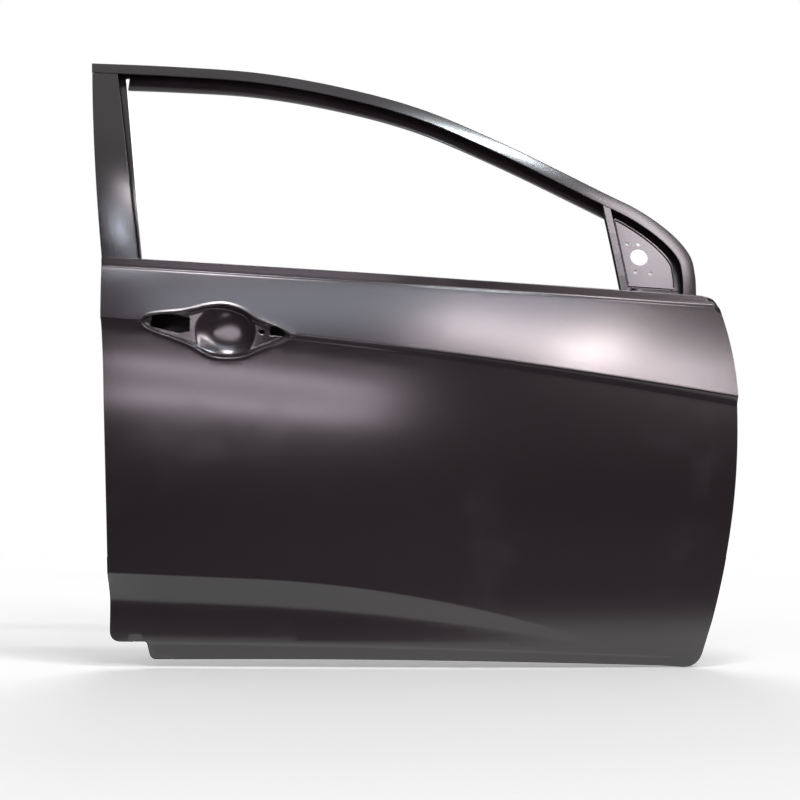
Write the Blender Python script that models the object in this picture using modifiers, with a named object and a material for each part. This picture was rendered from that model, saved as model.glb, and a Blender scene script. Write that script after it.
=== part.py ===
"""Right front door shell of a small saloon car: pressed panels, window frame and welded-in reinforcements.

Door datum, in metres: X runs forward from the rear edge at the belt, Y inboard from the outermost skin,
Z up from the foot of the panel. The datum is then moved so that the world origin is the upper hinge face.
"""

import math

import bmesh
import bpy
import numpy as np
from mathutils import Matrix, Vector, geometry

# Sheet thicknesses and joint clearances
SKIN = 0.0008
PANEL = 0.0009
SASH = 0.0012
PLATE = 0.0018
GAP = 0.0004
MERGE = 0.0003
HEM_GAP = 0.0005
HEM_WIDTH = 0.0075
HEM_FOLLOW = 0.030
HEM_STOP = 0.012
HEM_RELIEF = (0.014, 0.040)
HEM_HEIGHT = SKIN + HEM_GAP + PANEL + GAP + SKIN

# Lines along the door, each as heights at the rear (X = 0), the middle and the front (X = LENGTH)
FRONT_X = 1.079
FRONT_BULGE = 0.039
LENGTH = FRONT_X - FRONT_BULGE
BELT = (0.692, 0.6545, 0.622)
CREASE = (0.582, 0.5245, 0.4505)
SKIN_FOOT = (0.033, 0.0265, 0.006)
STRIP_FOOT = (0.0015, 0.0035, -0.0095)

# Side edges of the skin, in side view
REAR_FOOT_X = 0.014
REAR_SWEEP = 0.031
REAR_FOOT_Z = 0.060
SIDE_FOOT_Z = (0.075, 0.070)
FRONT_WIDEST_Z = 0.445
FRONT_SWEEP_UP = 0.90
FRONT_SWEEP_DOWN = 0.36
FRONT_TOP_Z = 0.597
STRIP_REAR_X = 0.076
STRIP_FRONT_X = FRONT_X - 0.084
STRIP_FADE = 0.045
STRIP_RUN = (0.084, 0.055)
STRIP_SLANT = 0.007
FOOT_REAR_RADIUS = 0.022
STRIP_RADII = (0.004, 0.012)
FOOT_FRONT_RADIUS = 0.034
TOP_CORNER = ((0.0255, 0.0150), (0.0330, 0.0055), (0.0450, 0.0008))
TOP_RUN = (0.003, 0.059)

# Pressed section of the skin, as depths inboard of the crease
CROWN = 0.022
CROWN_MIDDLE = 0.540
SHOULDER = 0.022
BELT_STRIP = 0.019
BELT_STRIP_SET = 0.0025
BELT_STRIP_STEP = 0.003
BELT_LIP = 0.005
UNDERCUT = (0.003, 0.008)
UNDERCUT_FALL = (0.006, 0.014)
WAIST_Z = (0.350, 0.250)
WAIST_OUT = (0.002, 0.0045)
COVE_DEPTH = 0.0045
COVE_DROP = 0.065
COVE_WIDTH = 0.062
COVE_FADE = (0.300, 0.800)
TUCK_Z = 0.350
TUCK = 0.20
FACET_TOP = 0.148
FACET_LOW = 0.107
FACET_SLOPE = 0.04
FACET_BEND_X = 0.25
FACET_FALL = (0.24, 0.14)
FACET_DEPTH = 0.018
FACET_FADE = (0.300, 0.880)
FOOT_RETURN = 0.45
FOOT_JOGGLE = 0.006
FOOT_JOGGLE_STEP = 0.006

# Handle recess: rim points as (X, height above the crease), then the wall, the bowl and the openings
RECESS_UPPER = ((0.060, 0.0), (0.070, 0.009), (0.094, 0.0155), (0.128, 0.0215), (0.154, 0.0295),
                (0.178, 0.0375), (0.205, 0.0415), (0.235, 0.0355), (0.259, 0.0225), (0.282, 0.0145),
                (0.302, 0.0085), (0.320, 0.0))
RECESS_LOWER = ((0.060, 0.0), (0.068, -0.0100), (0.086, -0.0170), (0.112, -0.0235), (0.136, -0.0305),
                (0.155, -0.0380), (0.172, -0.0465), (0.190, -0.0505), (0.212, -0.0500), (0.238, -0.0445),
                (0.262, -0.0320), (0.285, -0.0205), (0.305, -0.0100), (0.320, 0.0))
RECESS_DEPTH = 0.007
RECESS_RAMP = 0.005
BOWL_X = 0.209
BOWL_DROP = 0.005
BOWL_RADII = (0.050, 0.0475)
BOWL_SOFTNESS = (1.25, 0.65)
BOWL_DEPTH = 0.022
LOCK_OPENING = ((0.075, -0.007), (0.079, 0.010), (0.092, 0.0135), (0.125, 0.0155), (0.143, 0.0135),
                (0.143, -0.0095), (0.124, -0.0150))
CLIP_OPENING = ((0.2640, -0.0020), (0.2725, -0.0020), (0.2725, 0.0045), (0.2640, 0.0045))
LATCH_OPENING = ((0.2825, -0.0035), (0.3070, -0.0025), (0.3070, 0.0065), (0.2930, 0.0120), (0.2825, 0.0110))
RECESS_CORNER = 0.0025

# Window frame: surface, roof line and section
FRAME_SET = 0.034
FRAME_LEAN = 0.20
BARREL = 1.300
DROP_BARREL = 0.500
ROOF_LINE = ((-0.085, 1.108), (0.086, 1.095), (0.240, 1.0785), (0.392, 1.045), (0.541, 0.9960),
             (0.686, 0.924), (0.862, 0.825), (0.932, 0.7855), (0.985, 0.742), (1.0145, 0.701),
             (1.0210, 0.663), (1.0200, 0.625), (1.0190, 0.590), (1.0180, 0.560))
SASH_WIDTH = 0.024
SASH_DEPTH = 0.028
GROOVE_DEPTH = 0.011
GROOVE_WALL = 0.0205
HANG_REAR = 0.052
HANG_FRONT = 0.040
SASH_BEND = 0.0015
PILLAR_REAR_FOOT_X = -0.0188
PILLAR_REAR_LEAN = 0.1616
PILLAR_WIDTH_FOOT = 0.065
PILLAR_WIDTH_TOP = 0.0475
PILLAR_WIDTH_BOW = 0.003
PILLAR_HANG = (0.002, 0.012)
PILLAR_TOP = (1.060, 1.080)
ROOF_SPANS = 8
STATION_PITCH = (0.045, 0.020)
STATION_TURN = 5
PANEL_DROP = 0.030

# Division channel, rear glass channel and mirror sail plate
DIVISION_X = 0.8875
DIVISION_LEAN = 0.1355
DIVISION_FOOT_Z = BELT[2] + 0.0165
DIVISION_TOP = (0.780, 0.785)
DIVISION_WIDTH = 0.0115
CHANNEL_DEPTH = 0.0190
CHANNEL_FOOT_Z = 0.420
REAR_CHANNEL_X = 0.0310
REAR_CHANNEL_WIDTH = 0.0140
SAIL_SET = 0.008
SAIL_SPAN = 0.04
SAIL_EDGE = 0.036
SAIL_TIP = 0.004
SAIL_SHEET = 0.0014
SAIL_FOOT_RISE = 0.0125
SAIL_RAIL_HEIGHT = 0.032
SAIL_RAIL_GAP = 0.0025
MIRROR_HOLE = (0.9250, 0.6970)
MIRROR_HOLE_RADIUS = 0.0158
MIRROR_BOLTS = ((0.9055, 0.7220), (0.9165, 0.6690), (0.9430, 0.6665))
MIRROR_PEG = (0.9250, 0.7215)
MIRROR_BOLT_RADIUS = 0.0034
MIRROR_NUT_FLATS = 0.0100
MIRROR_NUT_HEIGHT = 0.0050

# Inner panel: flange, side walls and trim face
FLANGE = 0.017
WALL_INSET = 0.004
WALL_BEND = 0.0012
FACE_BEND = 0.006
FACE_Y = 0.098
FACE_BELT_Y = 0.080
FACE_CROWN_SHARE = 0.5
FACE_LEAN = (0.420, 0.520)
FACE_TOP = 0.004
PANEL_FOOT_Z = 0.050
PANEL_CORNER = 0.045
PANEL_TOP_CORNER = 0.026

# Pads on the side walls, by height: hinges on the front wall, latch on the rear wall
UPPER_HINGE_Z = 0.500
LOWER_HINGE_Z = 0.178
HINGE_PAD = 0.045
UPPER_PAD_X = FRONT_X - 0.029
LOWER_PAD_X = FRONT_X - 0.057
LATCH_Z = 0.350
LATCH_PAD = 0.060
LATCH_PAD_X = 0.027
PAD_SLOPE = 0.012
HINGE_BOLT = 0.0045
HINGE_BOLT_SPREAD = 0.025
HINGE_Y = 0.062
HINGE_PLATE_Y = 0.036
HINGE_PLATE_LEG = 0.045
NUT_FLATS = 0.014
NUT_HEIGHT = 0.0075
CHECK_Z = 0.352
CHECK_SLOT = (0.012, 0.030)
CHECK_BOLT = 0.0035
CHECK_BOLT_SPREAD = 0.026
CHECK_PLATE = (0.036, 0.076)
HARNESS_Z = 0.415
HARNESS_RADIUS = 0.016
HARNESS_Y = HINGE_Y + 0.004
LATCH_SLOT = (0.034, 0.050)
LATCH_SLOT_Y = 0.062
LATCH_BOLTS = ((0.046, 0.385), (0.078, 0.385), (0.062, 0.312))
LATCH_PLATE_Y = 0.034
LATCH_PLATE_LEG = 0.036
LATCH_PLATE_MARGIN = 0.004
DRAINS = (0.250, 0.560, 0.860)
DRAIN_Y = 0.066
DRAIN_RADIUS = 0.004
WALL_CUT = 0.020

# Openings in the trim face, by centre and size
SPEAKER = (FRONT_X - 0.264, 0.200)
SPEAKER_RADIUS = 0.077
SPEAKER_RING = 0.104
SPEAKER_BOSS = 0.005
SPEAKER_BOLT_CIRCLE = 0.091
SPEAKER_BOLT = 0.003
PRESS_STEP = (0.008, 0.006)
SERVICE_HOLE = ((0.300, 0.215), (0.640, 0.180), (0.690, 0.300), (0.655, 0.480), (0.330, 0.505),
                (0.270, 0.400))
SERVICE_CORNER = 0.045
SERVICE_STEP = 0.004
SERVICE_RIM = 0.022
FRONT_ACCESS = tuple((FRONT_X - back, z)
                     for back, z in ((0.309, 0.350), (0.144, 0.340), (0.164, 0.500), (0.279, 0.520)))
REAR_ACCESS = ((0.090, 0.200), (0.205, 0.190), (0.215, 0.400), (0.160, 0.500), (0.100, 0.470))
ACCESS_CORNER = 0.024
SWAGE_DROP = 0.090
SWAGE_WIDTH = 0.016
SWAGE_DEPTH = 0.004
SWAGE_ENDS = (0.10, FRONT_X - 0.139)
SWAGE_FADE = 0.03
FRONT_CLIP_X = FRONT_X - 0.094
CLIPS = ((0.060, 0.120), (0.250, 0.095), (0.480, 0.090), (0.660, 0.085), (FRONT_CLIP_X, 0.110),
         (FRONT_CLIP_X, 0.300), (FRONT_CLIP_X, 0.440), (0.064, 0.250), (0.055, 0.520), (0.240, 0.545),
         (0.720, 0.520))
CLIP_HOLE = 0.0045

# Side impact beam
BEAM_RADIUS = 0.0159
BEAM_WALL = 0.0020
BEAM_Y = 0.042
BEAM_REAR = (0.055, 0.215)
BEAM_FRONT = (FRONT_X - 0.059, 0.275)
BEAM_SEAT = 0.0008
CRADLE = 0.92
BRACKET_REACH = 0.105
BRACKET_HALF = 0.036
BRACKET_TIP = 0.0216
BRACKET_LEG = 0.030

# Ring round the handle recess, and mastic between the beam and the skin
HANDLE_RING = (0.005, 0.0125)
MASTIC_X = (0.300, 0.540, 0.780)
MASTIC_SIZE = (0.030, 0.014)
MASTIC_EDGE = 0.002

# Brackets of the frame's feet and of the glass channels
STEP_RUN = 0.012
PILLAR_BRACKET_X = (0.018, 0.046)
PILLAR_BRACKET_Z = (0.700, 0.674)
PILLAR_BRACKET_FOOT_Z = 0.628
LEG_BRACKET_BACK = (0.034, 0.006)
LEG_BRACKET_Z = (0.616, 0.598, 0.580)
LEG_BRACKET_RISE = 0.0015
CHANNEL_BRACKET_RISE = (0.005, 0.020, 0.035)
REAR_BRACKET_LEG = 0.028
REAR_BRACKET_LIP = 0.009
REAR_BRACKET_SEAT = 0.6
DIVISION_BRACKET = (0.001, 0.018, 0.042, 0.062)
RAIL_END = 0.006

# Belt reinforcements
OUTER_BELT_REAR = 0.060
OUTER_BELT_DEPTH = 0.0065
OUTER_BELT_HEIGHT = 0.056
OUTER_BELT_DROP = 0.003
OUTER_BELT_STEPS = (0.012, 0.016, 0.014, 0.010)
INNER_BELT_REAR = 0.075
INNER_BELT_CLEAR = 0.030
INNER_BELT_FRONT = ROOF_LINE[-2][0] - LEG_BRACKET_BACK[0] - INNER_BELT_CLEAR
INNER_BELT_DEPTH = 0.017
INNER_BELT_HEIGHT = 0.058
INNER_BELT_DROP = 0.002
INNER_BELT_STEPS = (0.012, 0.017)
BELT_SHEET = 0.0012
SEAM = 0.0006

# Finishes: colour, roughness and metallic value
FINISHES = {"dark_primer": ((0.035, 0.033, 0.037), 0.38, 0.55), "zinc_plate": ((0.62, 0.62, 0.60), 0.35, 0.9),
            "mastic": ((0.05, 0.05, 0.05), 0.85, 0.0)}


def bow(x, heights):
    """Parabola along X through the rear, middle and front heights."""
    rear, middle, front = heights
    u = np.asarray(x) / LENGTH
    return rear + (4 * middle - 3 * rear - front) * u + 2 * (rear - 2 * middle + front) * u * u


def blend(u, ends):
    """Straight blend between two end values."""
    return ends[0] + (ends[1] - ends[0]) * u


def ease(t):
    """Smooth step from 0 to 1."""
    t = np.clip(t, 0.0, 1.0)
    return t * t * (3.0 - 2.0 * t)


def crown(x):
    """Bow of the whole door in plan view."""
    return CROWN * ((np.asarray(x) - CROWN_MIDDLE) / CROWN_MIDDLE) ** 2


def smooth_path(points, count):
    """Catmull-Rom curve through the points, count spans to each stretch."""
    knots = np.array(points, dtype=float)
    knots = np.vstack([2 * knots[0] - knots[1], knots, 2 * knots[-1] - knots[-2]])
    path = []
    for before, start, end, after in zip(knots, knots[1:], knots[2:], knots[3:]):
        for t in np.arange(count) / count:
            path.append(0.5 * (2 * start + (end - before) * t
                               + (2 * before - 5 * start + 4 * end - after) * t ** 2
                               + (3 * start - before - 3 * end + after) * t ** 3))
    path.append(knots[-2])
    return np.array(path)


def rounded(points, radius, steps=3, closed=True):
    """Polyline with its corners turned into arcs; radius is one value or one for each corner."""
    points = [np.array(p, dtype=float) for p in points]
    radii = radius if isinstance(radius, (list, tuple)) else [radius] * len(points)
    path = []
    for i, corner in enumerate(points):
        if radii[i] <= 0 or (not closed and i in (0, len(points) - 1)):
            path.append(corner)
            continue
        before = points[i - 1] - corner
        after = points[(i + 1) % len(points)] - corner
        a, b = before / np.linalg.norm(before), after / np.linalg.norm(after)
        half = math.acos(float(np.clip(a @ b, -1, 1))) / 2
        reach = min(radii[i] / math.tan(half), 0.45 * np.linalg.norm(before), 0.45 * np.linalg.norm(after))
        start, end = corner + a * reach, corner + b * reach
        for k in range(steps + 1):
            t = k / steps
            pull = 2 * t * (1 - t)
            path.append(start * (1 - t) ** 2 + corner * pull + end * t ** 2)
    return np.array(path)


def divided(path, pitch, closed=False):
    """Polyline with every span longer than the pitch cut into equal steps."""
    path = np.asarray(path, dtype=float)
    ends = np.vstack([path[1:], path[:1]]) if closed else path[1:]
    result = []
    for start, end in zip(path, ends):
        steps = max(1, math.ceil(np.linalg.norm(end - start) / pitch - 1e-6))
        result += [start + (end - start) * k / steps for k in range(steps)]
    if not closed:
        result.append(path[-1])
    return np.array(result)


def side_normals(path, closed=False):
    """Mitred left-hand normals of a polyline in side view."""
    path = np.asarray(path, dtype=float)
    if closed:
        before, after = path - np.roll(path, 1, 0), np.roll(path, -1, 0) - path
    else:
        spans = np.diff(path, axis=0)
        before, after = np.vstack([spans[:1], spans]), np.vstack([spans, spans[-1:]])
    before = before / np.linalg.norm(before, axis=1)[:, None]
    after = after / np.linalg.norm(after, axis=1)[:, None]
    turn = before + after
    turn = turn / np.linalg.norm(turn, axis=1)[:, None]
    mitre = np.clip(np.sum(turn * before, axis=1), 0.5, 1.0)
    return np.stack([-turn[:, 1], turn[:, 0]], axis=1) / mitre[:, None]


def offset(path, distance, closed=False):
    """Polyline moved to its left by a distance."""
    return np.asarray(path) + side_normals(path, closed) * distance


def distance_to(points, path, closed=False):
    """Distance of each point from a polyline."""
    points, path = np.atleast_2d(points), np.asarray(path, dtype=float)
    ends = np.roll(path, -1, 0) if closed else path[1:]
    starts = path if closed else path[:-1]
    best = np.full(len(points), np.inf)
    for start, end in zip(starts, ends):
        span = end - start
        t = np.clip((points - start) @ span / max(float(span @ span), 1e-18), 0, 1)
        best = np.minimum(best, np.linalg.norm(points - start - t[:, None] * span, axis=1))
    return best


def inside(points, loop):
    """Even-odd test of points against a closed loop."""
    points, loop = np.atleast_2d(points), np.asarray(loop)
    result = np.zeros(len(points), dtype=bool)
    for start, end in zip(loop, np.roll(loop, -1, 0)):
        crosses = (start[1] > points[:, 1]) != (end[1] > points[:, 1])
        rise = end[1] - start[1] if end[1] != start[1] else 1e-12
        x = start[0] + (points[:, 1] - start[1]) * (end[0] - start[0]) / rise
        result ^= crosses & (points[:, 0] < x)
    return result


def circle(centre, radius, count):
    """Round loop in side view."""
    angles = np.arange(count) * 2 * math.pi / count
    return np.stack([centre[0] + radius * np.cos(angles), centre[1] + radius * np.sin(angles)], axis=1)


# Outer skin

def rear_x(z):
    """Rear edge of the skin at a height."""
    return REAR_FOOT_X - REAR_SWEEP * np.clip((z - REAR_FOOT_Z) / (BELT[0] - REAR_FOOT_Z), 0, 1.2) ** 1.5


def front_x(z):
    """Front edge of the skin at a height."""
    rise = z - FRONT_WIDEST_Z
    return FRONT_X - np.where(rise > 0, FRONT_SWEEP_UP, FRONT_SWEEP_DOWN) * rise ** 2


def facet_line(x, height, fall):
    """Border of the lower facet: nearly level at the rear, then dropping away forward."""
    return height - FACET_SLOPE * x - fall * np.clip(x - FACET_BEND_X, 0, None) ** 2


def facet_top(x):
    """Upper border of the lower facet."""
    return facet_line(x, FACET_TOP, FACET_FALL[0])


def facet_low(x):
    """Lower border of the lower facet."""
    return facet_line(x, FACET_LOW, FACET_FALL[1])


def rim_curve(points):
    """Rim of the handle recess as a curve in side view."""
    path = smooth_path(points, 3)
    return np.stack([path[:, 0], bow(path[:, 0], CREASE) + path[:, 1]], axis=1)


RIM_UPPER = rim_curve(RECESS_UPPER)
RIM_LOWER = rim_curve(RECESS_LOWER)
RIM = np.vstack([RIM_LOWER, RIM_UPPER[-2:0:-1]])


def plain_skin(x, z):
    """Depth of the skin before the handle recess is pressed in."""
    x, z = np.asarray(x, dtype=float), np.asarray(z, dtype=float)
    along = np.clip(x / LENGTH, 0, 1.1)
    strip = bow(x, BELT) - BELT_STRIP
    crease = bow(x, CREASE)
    undercut, fall = blend(along, UNDERCUT), blend(along, UNDERCUT_FALL)
    up = np.clip((z - crease) / (strip - crease), 0, 1)
    shoulder = SHOULDER * (0.85 * up + 0.15 * up * up) + BELT_STRIP_SET * ease((z - strip) / BELT_STRIP_STEP)
    down = np.clip((crease - z) / fall, 0, 1)
    step = undercut * (1 - (1 - down) ** 2)
    waist, out = blend(along, WAIST_Z), blend(along, WAIST_OUT)
    rise = np.clip((z - waist) / (crease - fall - waist), 0, 1)
    side = out + (undercut - out) * rise ** 2 + TUCK * np.clip(TUCK_Z - z, 0, None) ** 2
    cove = COVE_DEPTH * np.exp(-((crease - COVE_DROP - z) / COVE_WIDTH) ** 2)
    cove = cove * ease((crease - z) / (3 * fall)) * ease((COVE_FADE[1] - x) / (COVE_FADE[1] - COVE_FADE[0]))
    depth = np.where(z > crease, shoulder, np.where(z > crease - fall, step, side) + cove)
    top, low, foot = facet_top(x), facet_low(x), bow(x, SKIN_FOOT)
    fade = ease((FACET_FADE[1] - x) / (FACET_FADE[1] - FACET_FADE[0]))
    turn = 1 - (1 - np.clip((top - z) / (1.25 * np.clip(top - low, 0.004, None)), 0, 1)) ** 1.5
    back = FOOT_RETURN * np.clip((low - z) / np.clip(low - foot, 0.012, None), 0, 1)
    joggle = FOOT_JOGGLE * ease((foot - z) / FOOT_JOGGLE_STEP) * ease((STRIP_FRONT_X - x) / STRIP_FADE)
    return crown(x) + depth + FACET_DEPTH * fade * (turn - back) + joggle


def skin(x, z):
    """Depth of the outer skin, with the handle recess between its two rims."""
    x, z = np.atleast_1d(x).astype(float), np.atleast_1d(z).astype(float)
    upper = np.interp(x, RIM_UPPER[:, 0], RIM_UPPER[:, 1])
    lower = np.interp(x, RIM_LOWER[:, 0], RIM_LOWER[:, 1])
    share = np.clip((z - lower) / np.clip(upper - lower, 1e-6, None), 0, 1)
    ruled = (1 - share) * plain_skin(x, lower) + share * plain_skin(x, upper)
    within = inside(np.stack([x, z], axis=1), RIM)
    edge = distance_to(np.stack([x, z], axis=1), RIM, closed=True)
    sunk = np.maximum(RECESS_DEPTH, bowl_depth(x, z)) * ease(edge / RECESS_RAMP)
    return np.where(within, ruled + sunk, plain_skin(x, z))


def bowl_depth(x, z):
    """Depth of the finger bowl: soft towards the rear, steep towards the front."""
    along = (x - BOWL_X) / BOWL_RADII[0]
    up = (z - float(bow(BOWL_X, CREASE)) + BOWL_DROP) / BOWL_RADII[1]
    away = np.sqrt(along ** 2 + up ** 2)
    softness = blend(0.5 + 0.5 * along / np.clip(away, 1e-6, None), BOWL_SOFTNESS)
    return BOWL_DEPTH * np.clip(1 - away ** 2, 0, 1) ** softness


def stacked(x, z, height):
    """Depth of a face a height behind the skin, measured square to it; steep places need more depth."""
    step = 0.5 * FOOT_JOGGLE_STEP
    here = skin(x, z)
    steep = np.zeros_like(here)
    for dx, dz in ((step, 0), (0, step)):
        ahead = skin(np.asarray(x) + dx, np.asarray(z) + dz) - here
        behind = skin(np.asarray(x) - dx, np.asarray(z) - dz) - here
        steep += (np.clip(np.maximum(ahead, behind), 0, None) / step) ** 2
    return here + height * np.minimum(np.sqrt(1 + steep), 1.9)


def edge_path(drop, strip_rear=STRIP_REAR_X):
    """Side and foot edge of the skin, from a drop under the belt at the rear round to the front."""
    rear_top = bow(rear_x(BELT[0]), BELT) - drop
    rear = [(float(rear_x(z)), z) for z in np.linspace(rear_top, SIDE_FOOT_Z[0], 12)]
    foot_x = strip_rear
    step_z = float(bow(foot_x, SKIN_FOOT))
    corner = [(REAR_FOOT_X, float(bow(0, SKIN_FOOT))), (foot_x, step_z),
              (foot_x + STRIP_SLANT, float(bow(foot_x, STRIP_FOOT)))]
    strip = [(x, float(bow(x, STRIP_FOOT)))
             for x in np.linspace(STRIP_REAR_X + STRIP_RUN[0], STRIP_FRONT_X - STRIP_RUN[1], 7)]
    front_foot = float(bow(LENGTH, STRIP_FOOT))
    front_top = min(FRONT_TOP_Z, BELT[2] - drop)
    front = [(float(front_x(z)), z) for z in np.linspace(SIDE_FOOT_Z[1], front_top, 13)]
    points = rear + corner + strip + [(float(front_x(0.0)) - STRIP_RADII[0], front_foot)] + front
    radii = [0] * len(rear) + [FOOT_REAR_RADIUS, *STRIP_RADII] + [0] * len(strip)
    radii += [FOOT_FRONT_RADIUS] + [0] * len(front)
    return rounded(points, radii, steps=4, closed=False)


def skin_outline():
    """Closed outline of the outer panel, anticlockwise in side view."""
    rear_end = float(rear_x(BELT[0])) + TOP_RUN[0]
    top = [(x, float(bow(x, BELT))) for x in np.linspace(FRONT_X - TOP_RUN[1], rear_end, 20)]
    corner = [(FRONT_X - back, BELT[2] - drop) for back, drop in TOP_CORNER]
    return np.vstack([edge_path(TOP_RUN[0]), corner, top])


def level_line(height, start=-0.05, end=1.12, pitch=0.045):
    """Feature line of the skin in side view, from a height that depends on X."""
    xs = np.linspace(start, end, max(2, math.ceil((end - start) / pitch)))
    return np.stack([xs, np.array([float(height(x)) for x in xs])], axis=1)


def crease_fall(x):
    """Foot of the undercut below the crease."""
    return bow(x, CREASE) - blend(np.clip(x / LENGTH, 0, 1.1), UNDERCUT_FALL)


def skin_lines():
    """Feature lines that the skin's mesh follows."""
    rear_tip, front_tip = RECESS_UPPER[0][0], RECESS_UPPER[-1][0]
    lines = [level_line(lambda x: bow(x, BELT) - BELT_STRIP),
             level_line(lambda x: bow(x, BELT) - BELT_STRIP + BELT_STRIP_STEP),
             level_line(facet_top, end=FACET_FADE[1]),
             level_line(lambda x: facet_top(x) - 0.35 * (facet_top(x) - facet_low(x)), end=FACET_FADE[1]),
             level_line(facet_low, end=FACET_FADE[1]),
             level_line(lambda x: 0.5 * (facet_low(x) + bow(x, SKIN_FOOT)), end=0.60),
             level_line(lambda x: bow(x, SKIN_FOOT), start=STRIP_REAR_X),
             level_line(lambda x: bow(x, SKIN_FOOT) - 0.5 * FOOT_JOGGLE_STEP, start=STRIP_REAR_X - 0.001),
             level_line(lambda x: bow(x, SKIN_FOOT) - FOOT_JOGGLE_STEP, start=STRIP_REAR_X - 0.002)]
    for start, end in ((-0.05, rear_tip), (front_tip, 1.12)):
        for share in (0.0, 0.4, 1.0):
            fall = lambda x: blend(share, (bow(x, CREASE), crease_fall(x)))
            lines.append(level_line(fall, start, end, 0.040))
    return lines


# Sheet making

def press(bm, border, height, holes=(), lines=(), pitch=0.05, fine=(), reuse=None):
    """Mesh a sheet inside a border in side view and press it to height(x, z).

    The fine entries are (loop, pitch) areas with their own lattice. Vertices in reuse stand for the first
    points of the border.
    """
    points, edges = [], []

    def add(path, closed):
        base = len(points)
        points.extend(path)
        count = len(path) if closed else len(path) - 1
        edges.extend((base + i, base + (i + 1) % len(path)) for i in range(count))

    for loop in (border, *holes):
        add(loop, True)
    for line in lines:
        add(line, False)
    low, high = border.min(axis=0), border.max(axis=0)
    for loop, step in (*fine, (border, pitch)):
        xs = np.linspace(low[0], high[0], max(2, math.ceil((high[0] - low[0]) / step)))
        zs = np.linspace(low[1], high[1], max(2, math.ceil((high[1] - low[1]) / (0.8 * step))))
        lattice = np.array([(x, z) for z in zs for x in xs])
        lattice = lattice[inside(lattice, loop) & inside(lattice, border)]
        if loop is border:
            for area, _ in fine:
                lattice = lattice[~inside(lattice, area)]
        clear = distance_to(lattice, border, True)
        for hole in holes:
            clear = np.minimum(clear, np.where(inside(lattice, hole), 0, distance_to(lattice, hole, True)))
        for line in lines:
            clear = np.minimum(clear, distance_to(lattice, line))
        points.extend(lattice[clear > 0.42 * step])
    flat, _, faces, origin, _, _ = geometry.delaunay_2d_cdt([Vector(p) for p in points], edges, [], 0, MERGE)
    flat = np.array([tuple(p) for p in flat])
    centres = np.array([flat[list(f)].mean(axis=0) for f in faces])
    keep = inside(centres, border)
    for hole in holes:
        keep &= ~inside(centres, hole)
    depth = height(flat[:, 0], flat[:, 1])
    verts = {}
    for face, wanted in zip(faces, keep):
        if not wanted:
            continue
        for i in face:
            if i in verts:
                continue
            shared = [k for k in origin[i] if reuse and k < len(reuse)]
            verts[i] = reuse[shared[0]] if shared else bm.verts.new((flat[i][0], depth[i], flat[i][1]))
        a, b, c = (flat[i] for i in face)
        turn = (b[0] - a[0]) * (c[1] - a[1]) - (b[1] - a[1]) * (c[0] - a[0])
        if abs(turn) < 1e-12:
            continue
        bm.faces.new([verts[i] for i in (face if turn > 0 else reversed(face))])


def side_view(vert):
    """X and Z of a vertex."""
    return np.array([vert.co.x, vert.co.z])


def boundary_chain(bm, keep):
    """Boundary vertices that pass a test, in order, with the sheet on their left in side view."""
    edges = [e for e in bm.edges if e.is_boundary and keep(e.verts[0]) and keep(e.verts[1])]
    following = {}
    for edge in edges:
        loop = edge.link_loops[0]
        following[loop.vert] = loop.link_loop_next.vert
    starts = [v for v in following if v not in set(following.values())]
    vert = starts[0] if starts else next(iter(following))
    chain = [vert]
    while vert in following and following[vert] is not chain[0]:
        vert = following[vert]
        chain.append(vert)
    return chain


def fold(bm, chain, move):
    """Extend a boundary chain by one strip; move gives each new place from the old one and its normal."""
    normals = side_normals([side_view(v) for v in chain])
    fresh = [bm.verts.new(move(v.co, n)) for v, n in zip(chain, normals)]
    for i in range(len(chain) - 1):
        bm.faces.new((chain[i + 1], chain[i], fresh[i], fresh[i + 1]))
    return fresh


def near(path, closed=False):
    """Test for vertices that lie on a polyline in side view."""
    return lambda vert: distance_to([side_view(vert)], path, closed)[0] < 1.2 * MERGE


def thickened(path, thickness):
    """Closed section of a bent strip: the path and its copy to the right by the thickness."""
    return np.vstack([path, offset(path, -thickness)[::-1]])


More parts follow.
